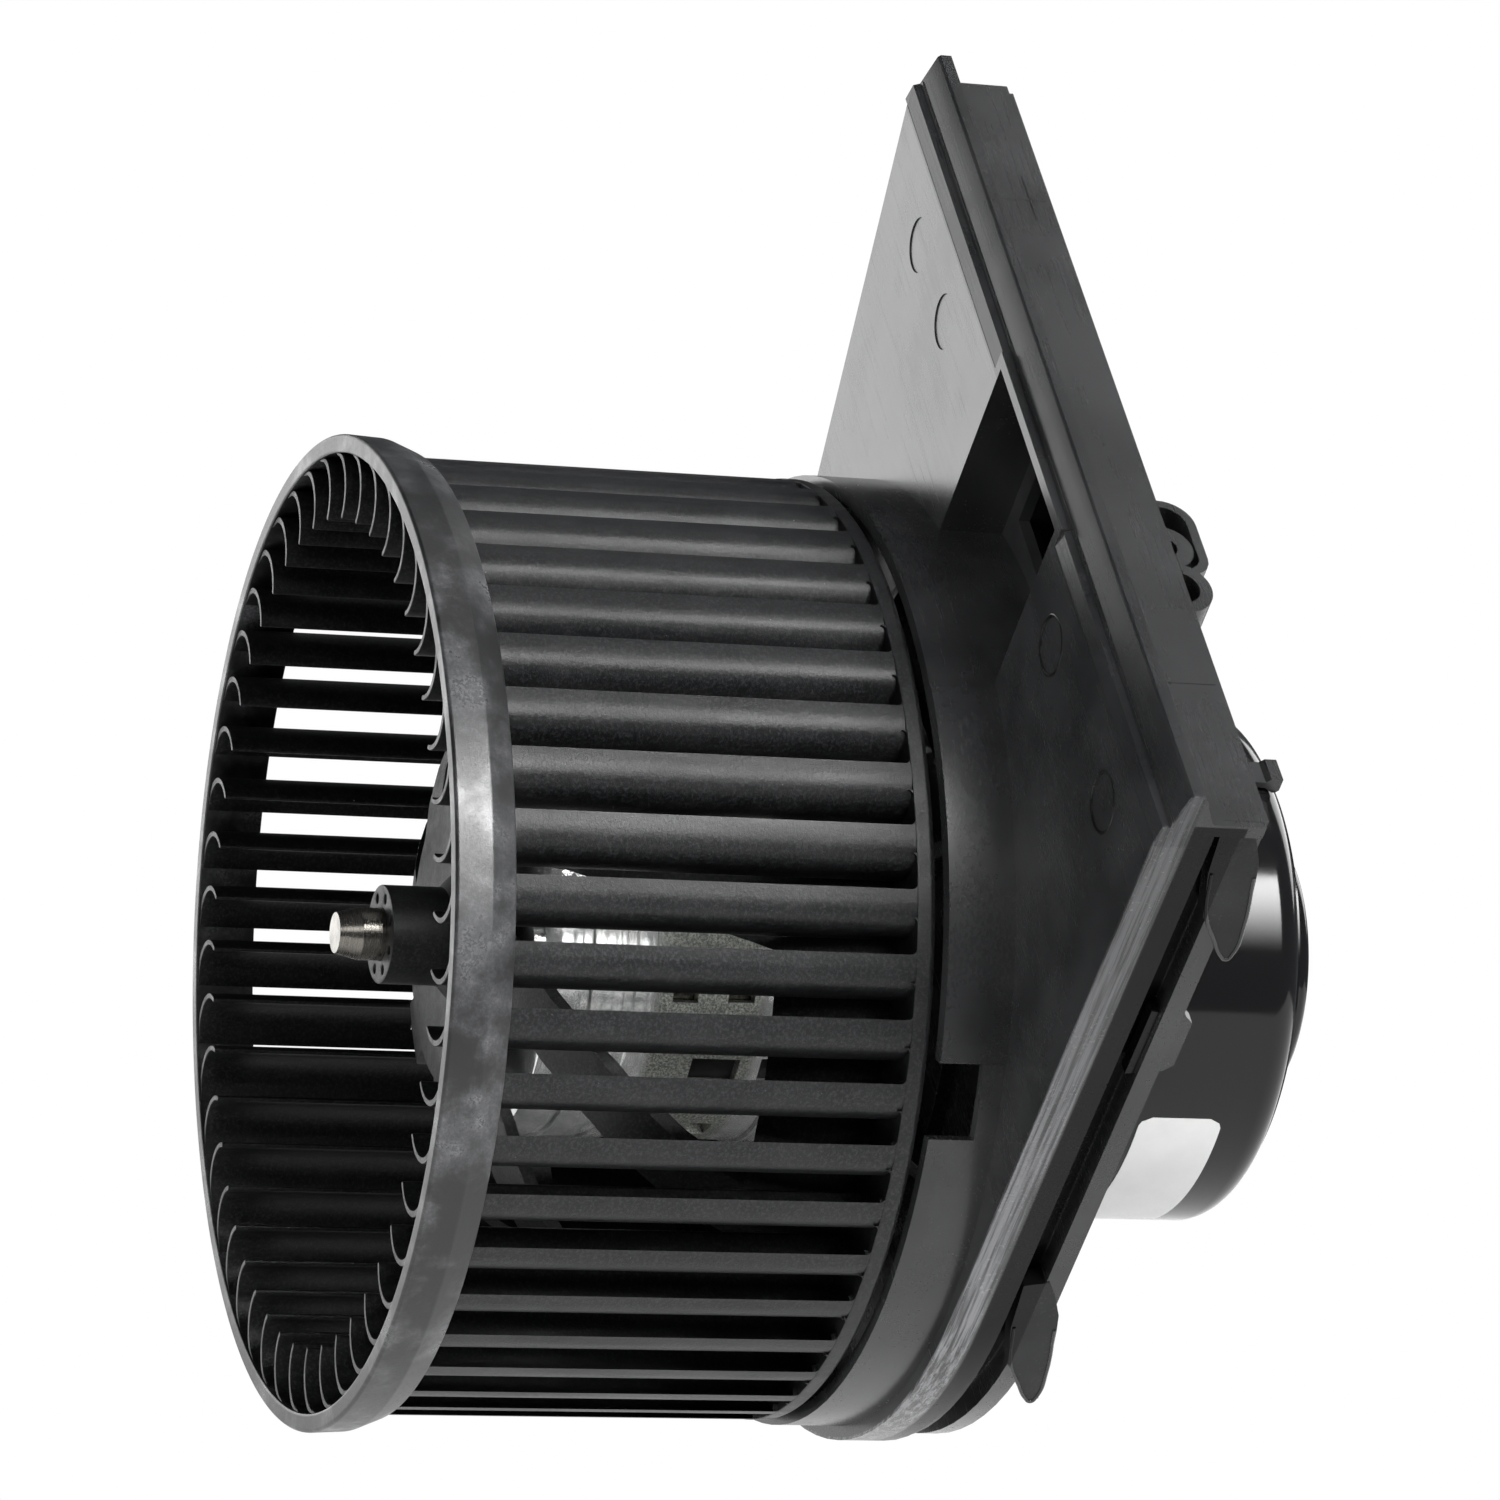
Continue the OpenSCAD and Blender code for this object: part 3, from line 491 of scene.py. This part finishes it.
def zinc_can():
    """Zinc-plated steel: mirror-like drawn bands, and a dull speckled band round the middle."""
    p = Paint("zinc_can", (0.8, 0.81, 0.8), 0.25, metallic=0.8)
    y = p.axis("Y")
    dull = p.product(p.ramp(y, -40.5 * MM, -38.5 * MM), p.ramp(y, -23.5 * MM, -21.5 * MM, 1, 0))
    speckle = p.ramp(p.noise(0.35, 4, rough=0.8), 0.38, 0.66)
    blotch = p.ramp(p.noise(4, 4), 0.35, 0.7)
    clean = p.mix(blotch, (0.72, 0.74, 0.73), (0.95, 0.96, 0.94))
    spotted = p.mix(speckle, (0.2, 0.215, 0.2), (0.78, 0.8, 0.72))
    p.colour(p.mix(dull, clean, spotted))
    p.roughness(p.math("ADD", p.ramp(blotch, 0, 1, 0.13, 0.22), p.math("MULTIPLY", dull, 0.16)))
    p.bump(speckle, 0.008, 0.3)
    bands = p.noise(2.6, 1, stretch=(0.02, 1, 0.02))
    p.bump(p.math("MULTIPLY", bands, p.math("SUBTRACT", 1.0, dull)), 0.4, 1.0)
    return p.material


def plain_solid(name, colour, rough, grain=1.2, depth=0.03, metallic=0.0):
    """A simple part's finish: blotchy colour, fine grain and uneven gloss."""
    p = Paint(name, colour, rough, metallic=metallic)
    dark = tuple(c * 0.65 for c in colour)
    p.colour(p.mix(p.ramp(p.noise(grain * 4, 4), 0.3, 0.7), dark, colour))
    p.roughness(p.ramp(p.noise(grain, 3), 0.3, 0.7, rough * 0.85, min(1, rough * 1.15)))
    p.bump(p.noise(grain * 0.5, 3), depth, 0.5)
    return p.material


def laminations():
    """Stacked thin electrical steel sheets, seen as fine lines across the axis."""
    p = Paint("laminations", (0.3, 0.31, 0.33), 0.4, metallic=1.0)
    wave = p.tree.nodes.new("ShaderNodeTexWave")
    wave.bands_direction = "Y"
    wave.inputs["Scale"].default_value = 0.314 / (0.5 * MM)
    p.link(p.place, wave.inputs["Vector"])
    p.colour(p.mix(wave.outputs["Fac"], (0.12, 0.12, 0.13), (0.36, 0.37, 0.39)))
    p.bump(wave.outputs["Fac"], 0.05, 0.6)
    return p.material


def copper_wire():
    """Enamelled copper with a wound look."""
    p = Paint("copper_wire", (0.5, 0.18, 0.08), 0.3, metallic=1.0, coat=0.5)
    strands = p.noise(0.6, 2, stretch=(1, 0.15, 1))
    p.colour(p.mix(p.ramp(strands, 0.35, 0.65), (0.25, 0.07, 0.03), (0.62, 0.25, 0.11)))
    p.bump(strands, 0.1, 0.6)
    return p.material


def label_paper():
    """Plain coated white paper with a faint fibre texture and faint random blotches of tone."""
    p = Paint("label_paper", (0.84, 0.84, 0.82), 0.42, specular=0.4)
    fibre = p.noise(0.5, 4)
    shade = p.ramp(p.noise(8, 3), 0.3, 0.7)
    p.colour(p.mix(shade, (0.54, 0.545, 0.54), (0.58, 0.585, 0.58)))
    p.roughness(p.ramp(fibre, 0.3, 0.7, 0.35, 0.5))
    p.bump(fibre, 0.01, 0.4)
    return p.material


MATERIALS = {
    "wheel_plastic": wheel_plastic(),
    "rim_plastic": rim_plastic(),
    "flange_plastic": flange_plastic(),
    "cover_black": cover_black(),
    "shaft_steel": bright_metal("shaft_steel", (0.26, 0.245, 0.22), 0.25, turned=True),
    "zinc_steel": zinc_can(),
    "copper": copper_wire(),
    "brass": bright_metal("brass_plain", (0.7, 0.55, 0.26), 0.28),
    "bronze": plain_solid("sintered_bronze", (0.42, 0.3, 0.17), 0.45, metallic=1.0),
    "ferrite": plain_solid("ferrite", (0.05, 0.05, 0.052), 0.7),
    "lamination": laminations(),
    "carbon": plain_solid("carbon", (0.03, 0.03, 0.031), 0.5),
    "card_brown": plain_solid("phenolic_card", (0.16, 0.09, 0.045), 0.45),
    "insulator_green": plain_solid("insulating_paper", (0.06, 0.17, 0.08), 0.6),
    "nylon": plain_solid("natural_nylon", (0.72, 0.69, 0.6), 0.45),
    "felt": plain_solid("oiled_felt", (0.4, 0.31, 0.2), 0.85, grain=0.5, depth=0.1),
    "rubber_black": plain_solid("soft_rubber", (0.02, 0.02, 0.02), 0.65),
    "lead_red": plain_solid("lead_insulation", (0.42, 0.03, 0.02), 0.4, depth=0.01),
    "label_white": label_paper(),
}

for row in frame["record"]["subparts"]:
    mesh = frame["nodes"][row["node"]].data
    mesh.materials.clear()
    mesh.materials.append(MATERIALS[row["material_slot"]])


def dress(piece, slot, body, *nodes, look=None):
    """Gives a new piece the material of its slot, or of its look if one is given, puts it under its body, and
    hides the CAD nodes that it stands for.
    """
    piece.data.materials.append(MATERIALS[look or slot])
    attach(piece, body)
    if nodes:
        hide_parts(*nodes)
    return piece


# ---- camera, at the photograph's viewing angle ----
AZIMUTH = math.radians(71.24)
ELEVATION = math.radians(-0.8)
ROLL = math.radians(2.36)
CAMERA_PLACE = Vector((0.9796, -0.34935, 0.0159))
FOCAL_SHARE = 6729.5 / 1500


def make_camera():
    data = bpy.data.cameras.new("camera")
    data.sensor_width = 36
    data.lens = 36 * FOCAL_SHARE
    data.clip_start = 0.02
    data.clip_end = 50
    camera = bpy.data.objects.new("camera", data)
    forward = Vector((
        -math.sin(AZIMUTH) * math.cos(ELEVATION),
        math.cos(AZIMUTH) * math.cos(ELEVATION),
        -math.sin(ELEVATION),
    ))
    right = forward.cross(Vector((0, 0, 1))).normalized()
    up = right.cross(forward)
    turned_right = right * math.cos(ROLL) + up * math.sin(ROLL)
    turned_up = up * math.cos(ROLL) - right * math.sin(ROLL)
    pose = Matrix((turned_right, turned_up, -forward)).transposed().to_4x4()
    pose.translation = CAMERA_PLACE
    camera.matrix_world = pose
    bpy.context.scene.collection.objects.link(camera)
    bpy.context.scene.camera = camera


make_camera()


# ---- wheel ----
def blade_section():
    """The blade's outline as (radius, tangent) in metres, with the cap's clockwise edge near 0."""
    outer_bend, inner_bend = 6.6 * MM, 5.8 * MM
    steps = 18
    centre = Vector((BLADE_R - inner_bend, 3.7 * MM))
    points = [Vector(point) for point in arc(centre, outer_bend, -45, -129, steps)]
    tip_outer = points[-1]
    inner = []
    for i in range(steps + 1):
        share = i / steps
        angle = math.radians(215 - 103 * share)
        reach = inner_bend - 0.3 * MM * share
        inner.append(centre + reach * Vector((math.sin(angle), math.cos(angle))))
    middle = (tip_outer + inner[0]) / 2
    half = (inner[0] - tip_outer) / 2
    bulge = Vector((-half.y, half.x)) * 0.8
    if (middle + bulge - centre).length < (middle - centre).length:
        bulge = -bulge
    if bulge.x > 0:
        bulge = -bulge
    for k in range(1, 6):
        turn = math.pi * k / 6
        points.append(middle - half * math.cos(turn) + bulge * math.sin(turn))
    points += inner
    points.append(Vector((BLADE_R - 0.45 * MM, 3 * MM)))
    for degrees in (CAP_ARC, 2.6, 1.9):
        a = math.radians(degrees)
        points.append(Vector((BLADE_R * math.cos(a), BLADE_R * math.sin(a))))
    roll_start = points[-1]
    corner = Vector((BLADE_R - 0.02 * MM, 0.14 * MM))
    for k in range(1, 8):
        t = k / 8
        points.append(roll_start * (1 - t) ** 2 + corner * 2 * t * (1 - t) + points[0] * t ** 2)
    return points


def inset(points, depth):
    """Moves each point of a closed outline inwards."""
    count = len(points)
    area = sum(points[i - 1].cross(points[i]) for i in range(count))
    side = 1 if area > 0 else -1
    result = []
    for i, point in enumerate(points):
        along = (points[(i + 1) % count] - points[i - 1]).normalized()
        result.append(point + side * depth * Vector((-along.y, along.x)))
    return result


def make_blades():
    outline = blade_section()
    shrunk = inset(outline, 0.1 * MM)
    layers = [(blades_low.y, shrunk), (blades_low.y + 0.12 * MM, outline), (SLOT_END, outline)]
    count = len(outline)
    vertices, faces = [], []
    for b in range(BLADE_COUNT):
        angle = FIRST_BLADE + b * BLADE_PITCH
        outwards = Vector((math.cos(angle), math.sin(angle)))
        across = Vector((-math.sin(angle), math.cos(angle)))
        first = len(vertices)
        for y, points in layers:
            for point in points:
                place = outwards * point.x + across * point.y
                vertices.append((place.x, y, place.y))
        for layer in range(len(layers) - 1):
            for k in range(count):
                n = (k + 1) % count
                low = first + layer * count
                faces.append((low + k, low + n, low + count + n, low + count + k))
        faces.append(tuple(first + k for k in range(count)))
        last = first + (len(layers) - 1) * count
        faces.append(tuple(last + count - 1 - k for k in range(count)))
    piece = make_object("wheel_blades_fine", vertices, faces, 40)
    return dress(piece, "wheel_plastic", "rotor", "wheel_blades")


def make_slot_fillets():
    """Small webs that round the two corners at the closed end of every slot."""
    reach, steps = 0.7 * MM, 5
    inner_r, outer_r = BLADE_R - 1.1 * MM, BLADE_R - 0.02 * MM
    vertices, faces = [], []
    for b in range(BLADE_COUNT):
        start = FIRST_BLADE + b * BLADE_PITCH
        for corner, side in ((start + math.radians(CAP_ARC + 0.01), 1), (start + BLADE_PITCH, -1)):
            outline = [(0.0, 0.0)] + arc((reach, -reach), reach, 90, 180, steps)
            first = len(vertices)
            for radius in (inner_r, outer_r):
                for along, y in outline:
                    vertices.append(polar(radius, corner + side * along / BLADE_R, SLOT_END + y))
            n = len(outline)
            faces.append(tuple(first + k for k in range(n)))
            faces.append(tuple(first + 2 * n - 1 - k for k in range(n)))
            for k in range(n):
                m = (k + 1) % n
                faces.append((first + k, first + m, first + n + m, first + n + k))
    return dress(make_object("slot_fillets", vertices, faces, 40), "wheel_plastic", "rotor")


def make_front_rim():
    y = WHEEL_FRONT
    r = WHEEL_R
    profile = round_corners([
        (BLADE_R, y + 0.1 * MM),
        (BLADE_R + 0.3 * MM, y),
        (r - 0.35 * MM, y),
        (r, y + 0.35 * MM),
        (r - 0.25 * MM, y + 5.5 * MM),
        (r - 1.8 * MM, rim_high.y),
        (BLADE_R, rim_high.y),
    ], 0.25 * MM)
    piece = lathe("front_rim_fine", profile, 360, 12)
    return dress(piece, "wheel_plastic", "rotor", "wheel_front_rim", look="rim_plastic")


def make_back_ring():
    low, high = ring_low.y, ring_high.y
    outer = BLADE_R + 0.05 * MM
    profile = round_corners([
        (BLADE_TIP_R, low),
        (BLADE_R, low),
        (outer, low + 0.3 * MM),
        (outer, high - 0.8 * MM),
        (outer - 0.8 * MM, high),
        (BLADE_TIP_R + 0.8 * MM, high),
        (BLADE_TIP_R, high - 0.8 * MM),
    ], 0.3 * MM)
    return dress(lathe("back_ring_fine", profile, 360), "wheel_plastic", "rotor", "wheel_back_ring")


make_blades()
make_slot_fillets()
make_front_rim()
make_back_ring()
soften("wheel_web", 0.35)
soften("wheel_hub", 0.2)
soften("balance_clip", 0.1)
soften("motor_shaft", 0.1, sharp=12)


# ---- rear cover and label ----
def make_cover():
    """The drawn cover: a round corner, a flat shelf with a ridge circle, and a nose with a shallow dimple."""
    front, nose_y = cover_low.y, cover_high.y
    shelf = nose_y - 8.6 * MM
    nose_r, ridge_r = 22.5 * MM, 36.1 * MM
    wall, rim_round, corner, root, nose_round = 2 * MM, 0.3 * MM, 4.8 * MM, 2.4 * MM, 2 * MM
    profile = [(COVER_R - wall, front), (COVER_R - rim_round, front), (COVER_R, front + rim_round)]
    profile += arc((COVER_R - corner, shelf - corner), corner, 0, 80, 12)
    profile += [
        (ridge_r + 0.4 * MM, shelf + 0.35 * MM),
        (ridge_r, shelf + 0.5 * MM),
        (ridge_r - 0.4 * MM, shelf + 0.35 * MM),
        (ridge_r - 0.7 * MM, shelf + 0.02 * MM),
        (ridge_r - 1.3 * MM, shelf),
        (nose_r + 4 * MM, shelf),
    ]
    profile += arc((nose_r + 3.5 * MM, shelf + root), root, -90, -165, 7)[1:]
    profile.append((nose_r + 0.3 * MM, nose_y - 2.6 * MM))
    profile += arc((nose_r - nose_round, nose_y - nose_round), nose_round, 0, 90, 7)
    centre_r, inside = 0.02 * MM, nose_y - 2.8 * MM
    profile += [
        (7.4 * MM, nose_y),
        (7 * MM, nose_y - 0.1 * MM),
        (6 * MM, nose_y - 0.75 * MM),
        (centre_r, nose_y - 0.8 * MM),
        (centre_r, inside),
        (nose_r - wall, inside),
        (nose_r - wall, shelf - wall),
        (36 * MM, shelf - wall),
        (COVER_R - wall, nose_y - 13 * MM),
    ]
    return dress(lathe("rear_cover_fine", profile, 360, 30), "cover_black", "housing", "rear_cover")


def make_label():
    """A thin curved patch with round corners, stuck on the cover."""
    inner, outer = COVER_R + 0.01 * MM, COVER_R + 0.11 * MM
    top, bottom = math.radians(-34.7), math.radians(-81)
    low, high = label_low.y, label_high.y
    corner = 2 * MM
    length = (top - bottom) * COVER_R
    columns, rows = 40, 16
    grid = []
    for i in range(columns + 1):
        along = length * i / columns
        near = min(along, length - along, corner)
        cut = corner - math.sqrt(max(0.0, corner ** 2 - (corner - near) ** 2))
        for j in range(rows + 1):
            grid.append((top - along / COVER_R, low + cut + (high - low - 2 * cut) * j / rows))
    vertices = [polar(radius, angle, y) for radius in (outer, inner) for angle, y in grid]
    faces = []
    width = rows + 1
    size = (columns + 1) * width
    for i in range(columns):
        for j in range(rows):
            k = i * width + j
            faces.append((k, k + 1, k + width + 1, k + width))
            faces.append((size + k, size + k + width, size + k + width + 1, size + k + 1))
    border = [i * width for i in range(columns + 1)]
    border += [columns * width + j for j in range(1, width)]
    border += [i * width + rows for i in range(columns - 1, -1, -1)]
    border += [j for j in range(rows - 1, 0, -1)]
    for k, a in enumerate(border):
        b = border[(k + 1) % len(border)]
        faces.append((a, b, size + b, size + a))
    return dress(make_object("label_patch", vertices, faces, 40), "label_white", "housing", "cover_label")


make_cover()
make_label()


# ---- flange and motor ----
def uv_point(u, v, y):
    """A place on the flange's 45 degree axes, given in millimetres."""
    return ((u + v) * MM / math.sqrt(2), y * MM, (u - v) * MM / math.sqrt(2))


def make_skirt_ridges():
    """Fine raised mould lines across the long skirt wall."""
    vertices, faces = [], []
    wall = LIP_U / MM
    for v, low, high, width in ((47.0, 7.7, 15.2, 0.22), (-57.0, 7.7, 15.2, 0.22), (-57.6, 12.6, 12.9, 5.0)):
        first = len(vertices)
        for u, spread in ((wall - 0.1, width + 0.18), (wall + 0.12, width)):
            for side, y in ((-1, low), (1, low), (1, high), (-1, high)):
                vertices.append(uv_point(u, v + side * spread, y))
        faces += [tuple(first + k for k in (0, 1, 2, 3)), tuple(first + k for k in (7, 6, 5, 4))]
        for k in range(4):
            n = (k + 1) % 4
            faces.append((first + k, first + n, first + 4 + n, first + 4 + k))
    return dress(make_object("skirt_ridges", vertices, faces, 20), "flange_plastic", "housing")


def make_mould_rings():
    """Two faint raised ejector rings on the plate's front face, beside the long lip."""
    vertices, faces = [], []
    for v in (25.9, 57.4):
        first = len(vertices)
        for i in range(72):
            a = 2 * math.pi * i / 72
            for radius, y in ((4.1, 0.02), (4.25, -0.1), (4.45, -0.1), (4.6, 0.02)):
                vertices.append(uv_point(91 + radius * math.cos(a), v + radius * math.sin(a), y))
        for i in range(72):
            j = (i + 1) % 72
            for k in range(4):
                n = (k + 1) % 4
                faces.append((first + 4 * i + k, first + 4 * i + n, first + 4 * j + n, first + 4 * j + k))
    return dress(make_object("mould_rings", vertices, faces, 50), "flange_plastic", "housing")


def make_hook_beads():
    """A raised bead round the free end of each snap hook, where its moulding was parted."""
    outline = (
        (-9.4, 10.9), (-17.5, 12.8), (-22.5, 15.6), (-25.4, 17.5),
        (-26.2, 18.6), (-25.2, 19.2), (-19.4, 19.1), (-9.8, 17.4),
    )
    for k, root in enumerate(HOOK_ROOTS):
        path = [uv_point(root + u, HOOK_V / MM - 0.05, y) for u, y in outline]
        dress(tube("hook_bead_%d" % (k + 1), path, 0.3 * MM), "flange_plastic", "housing")


def make_stray_wires():
    """Thin enamelled wires that show beside the motor can."""
    for k, (a, b, start, end, reach) in enumerate((
        (-46, -54, -44.8, -43.3, 33.9), (-47, -55, -44.1, -42.7, 34.6),
        (-60, -63, -42.3, -37.0, 35.8), (-61, -65, -41.2, -36.6, 36.4),
    )):
        path = []
        for i in range(7):
            t = i / 6
            angle = math.radians(a + (b - a) * t + 0.7 * math.sin(5 * t + k))
            radius = (reach + 0.5 * math.sin(6 * t + 2 * k)) * MM
            path.append(polar(radius, angle, (start + (end - start) * t + 0.25 * math.cos(7 * t + k)) * MM))
        dress(tube("stray_wire_%d" % (k + 1), path, 0.13 * MM), "copper", "housing")


make_skirt_ridges()
make_mould_rings()
make_hook_beads()
make_stray_wires()
soften("mounting_flange", 0.3)
soften("motor_cradle", 0.3)
soften("cooling_duct", 0.3)
soften("connector_housing", 0.25)
soften("motor_can", 0.15)
soften("front_bell", 0.15)
for name in ("rear_cap", "through_bolts", "cradle_screws", "connector_pins", "rubber_isolators"):
    soften(name, 0.1)
for name in ("armature_core", "armature_windings", "commutator", "motor_leads", "choke_coils", "magnets"):
    soften(name, 0)


# ---- stage ----
FLOOR_GLOW = 0.95
FLOOR_EDGE = 0.23


def emitter(name, colour, strength):
    material = bpy.data.materials.new(name)
    material.use_nodes = True
    tree = material.node_tree
    tree.nodes.clear()
    glow = tree.nodes.new("ShaderNodeEmission")
    glow.inputs["Color"].default_value = (*colour, 1)
    glow.inputs["Strength"].default_value = strength
    out = tree.nodes.new("ShaderNodeOutputMaterial")
    tree.links.new(glow.outputs[0], out.inputs["Surface"])
    return material


def floor_disc(name, level):
    radius, sides = 6, 96
    vertices = []
    for i in range(sides):
        angle = 2 * math.pi * i / sides
        vertices.append((radius * math.cos(angle), radius * math.sin(angle), level))
    return make_object(name, vertices, [tuple(range(sides))])


def make_floor():
    """A plain white floor just under the wheel's rim, and below it one that only lights the object."""
    level = cad_box[0][2] - 0.5 * MM
    seen = floor_disc("floor", level)
    p = Paint("floor_paint", (0.0, 0.0, 0.0), 1.0, specular=0.0)
    p.set("Emission Color", (1, 1, 1, 1))
    p.set("Emission Strength", 1.0)
    seen.data.materials.append(p.material)
    seen.visible_diffuse = False
    seen.visible_glossy = False
    seen.visible_shadow = False
    sheet = [(-0.7, -0.6), (FLOOR_EDGE, -0.6), (FLOOR_EDGE, 0.7), (-0.7, 0.7)]
    vertices = [(x, y, level - 0.5 * MM) for x, y in sheet]
    bounce = make_object("floor_bounce", vertices, [(0, 1, 2, 3)])
    q = Paint("bounce_paint", (0.25, 0.25, 0.25), 0.8, specular=0.0)
    q.set("Emission Color", (1, 1, 1, 1))
    q.set("Emission Strength", FLOOR_GLOW)
    bounce.data.materials.append(q.material)
    bounce.visible_camera = False


def make_backdrop():
    """A white surround that only the camera sees."""
    bpy.ops.mesh.primitive_uv_sphere_add(segments=48, ring_count=24, radius=8)
    dome = bpy.context.object
    dome.name = "surround"
    dome.data.materials.append(emitter("surround_white", (1, 1, 1), 1.0))
    dome.visible_diffuse = False
    dome.visible_glossy = False
    dome.visible_shadow = False
    dome.visible_volume_scatter = False


def softbox(name, place, aim, width, height, power, only=(), unshaded=False):
    """A rectangular area light that the camera doesn't see, for the whole scene or for a few pieces.

    An unshaded light isn't blocked by the rest of the object.
    """
    data = bpy.data.lights.new(name, "AREA")
    data.shape = "RECTANGLE"
    data.size = width
    data.size_y = height
    data.energy = power
    lamp = bpy.data.objects.new(name, data)
    lamp.location = place
    lamp.rotation_euler = (Vector(aim) - Vector(place)).to_track_quat("-Z", "Y").to_euler()
    lamp.visible_camera = False
    bpy.context.scene.collection.objects.link(lamp)
    if only:
        lit = bpy.data.collections.new(name + "_lit")
        for node in only:
            lit.objects.link(frame["nodes"][node])
        lamp.light_linking.receiver_collection = lit
        if unshaded:
            lamp.light_linking.blocker_collection = lit


def key_panel(place, width, height, strength):
    """A standing softbox whose light fades out towards its lower edge."""
    lean = 0.12
    away = Vector((place[0], place[1], 0)).normalized()
    side = Vector((-away.y, away.x, 0)) * width / 2
    middle = Vector(place)
    corners = []
    for x, z in ((-1, -1), (1, -1), (1, 1), (-1, 1)):
        corners.append(tuple(middle + side * x + Vector((0, 0, height / 2 * z)) - away * lean * z))
    panel = make_object("key_softbox", corners, [(0, 1, 2, 3)])
    material = emitter("key_white", (1, 1, 1), strength)
    tree = material.node_tree
    place_node = tree.nodes.new("ShaderNodeTexCoord")
    split = tree.nodes.new("ShaderNodeSeparateXYZ")
    fade = tree.nodes.new("ShaderNodeMapRange")
    fade.interpolation_type = "SMOOTHSTEP"
    fade.inputs["From Min"].default_value = place[2] - height / 2
    fade.inputs["From Max"].default_value = place[2] + height * 0.45
    fade.inputs["To Min"].default_value = 0.0
    fade.inputs["To Max"].default_value = strength
    tree.links.new(place_node.outputs["Object"], split.inputs[0])
    tree.links.new(split.outputs["Z"], fade.inputs["Value"])
    glow = next(node for node in tree.nodes if node.type == "EMISSION")
    tree.links.new(fade.outputs["Result"], glow.inputs["Strength"])
    panel.data.materials.append(material)
    panel.visible_camera = False
    panel.visible_shadow = False


def make_lights():
    world = bpy.data.worlds.new("studio")
    world.use_nodes = True
    world.node_tree.nodes["Background"].inputs["Color"].default_value = (0.93, 0.96, 1.0, 1)
    world.node_tree.nodes["Background"].inputs["Strength"].default_value = 0.1
    bpy.context.scene.world = world
    centre = (0.02, 0.0, 0.02)
    key_panel((1.3, 0.48, 0.55), 0.8, 0.8, 36)
    softbox("left_panel", (-1.3, -0.55, 0.3), (0.0, -0.1, 0.3), 1.0, 0.78, 6.2)
    softbox("top_panel", (0.05, 0.5, 1.6), centre, 1.2, 1.2, 3)
    softbox("side_panel", (1.25, -0.42, 0.5), centre, 0.5, 0.5, 2)
    softbox("back_panel", (-0.75, 1.45, 0.75), centre, 1.0, 1.0, 12)
    metal = ("motor_can", "front_bell")
    softbox("metal_panel", (1.15, 0.4, 0.0), centre, 0.5, 0.6, 8, metal, True)
    softbox("metal_floor", (0.5, 0.22, -0.5), centre, 0.6, 0.6, 3.5, metal, True)
    plastic = ("mounting_flange", "connector_housing")
    softbox("plate_panel", (0.75, -0.95, 0.25), (0.08, 0.0, 0.03), 0.6, 0.6, 16, plastic)


make_floor()
make_backdrop()
make_lights()
bpy.context.scene.view_settings.view_transform = "Standard"
bpy.context.scene.view_settings.look = "None"
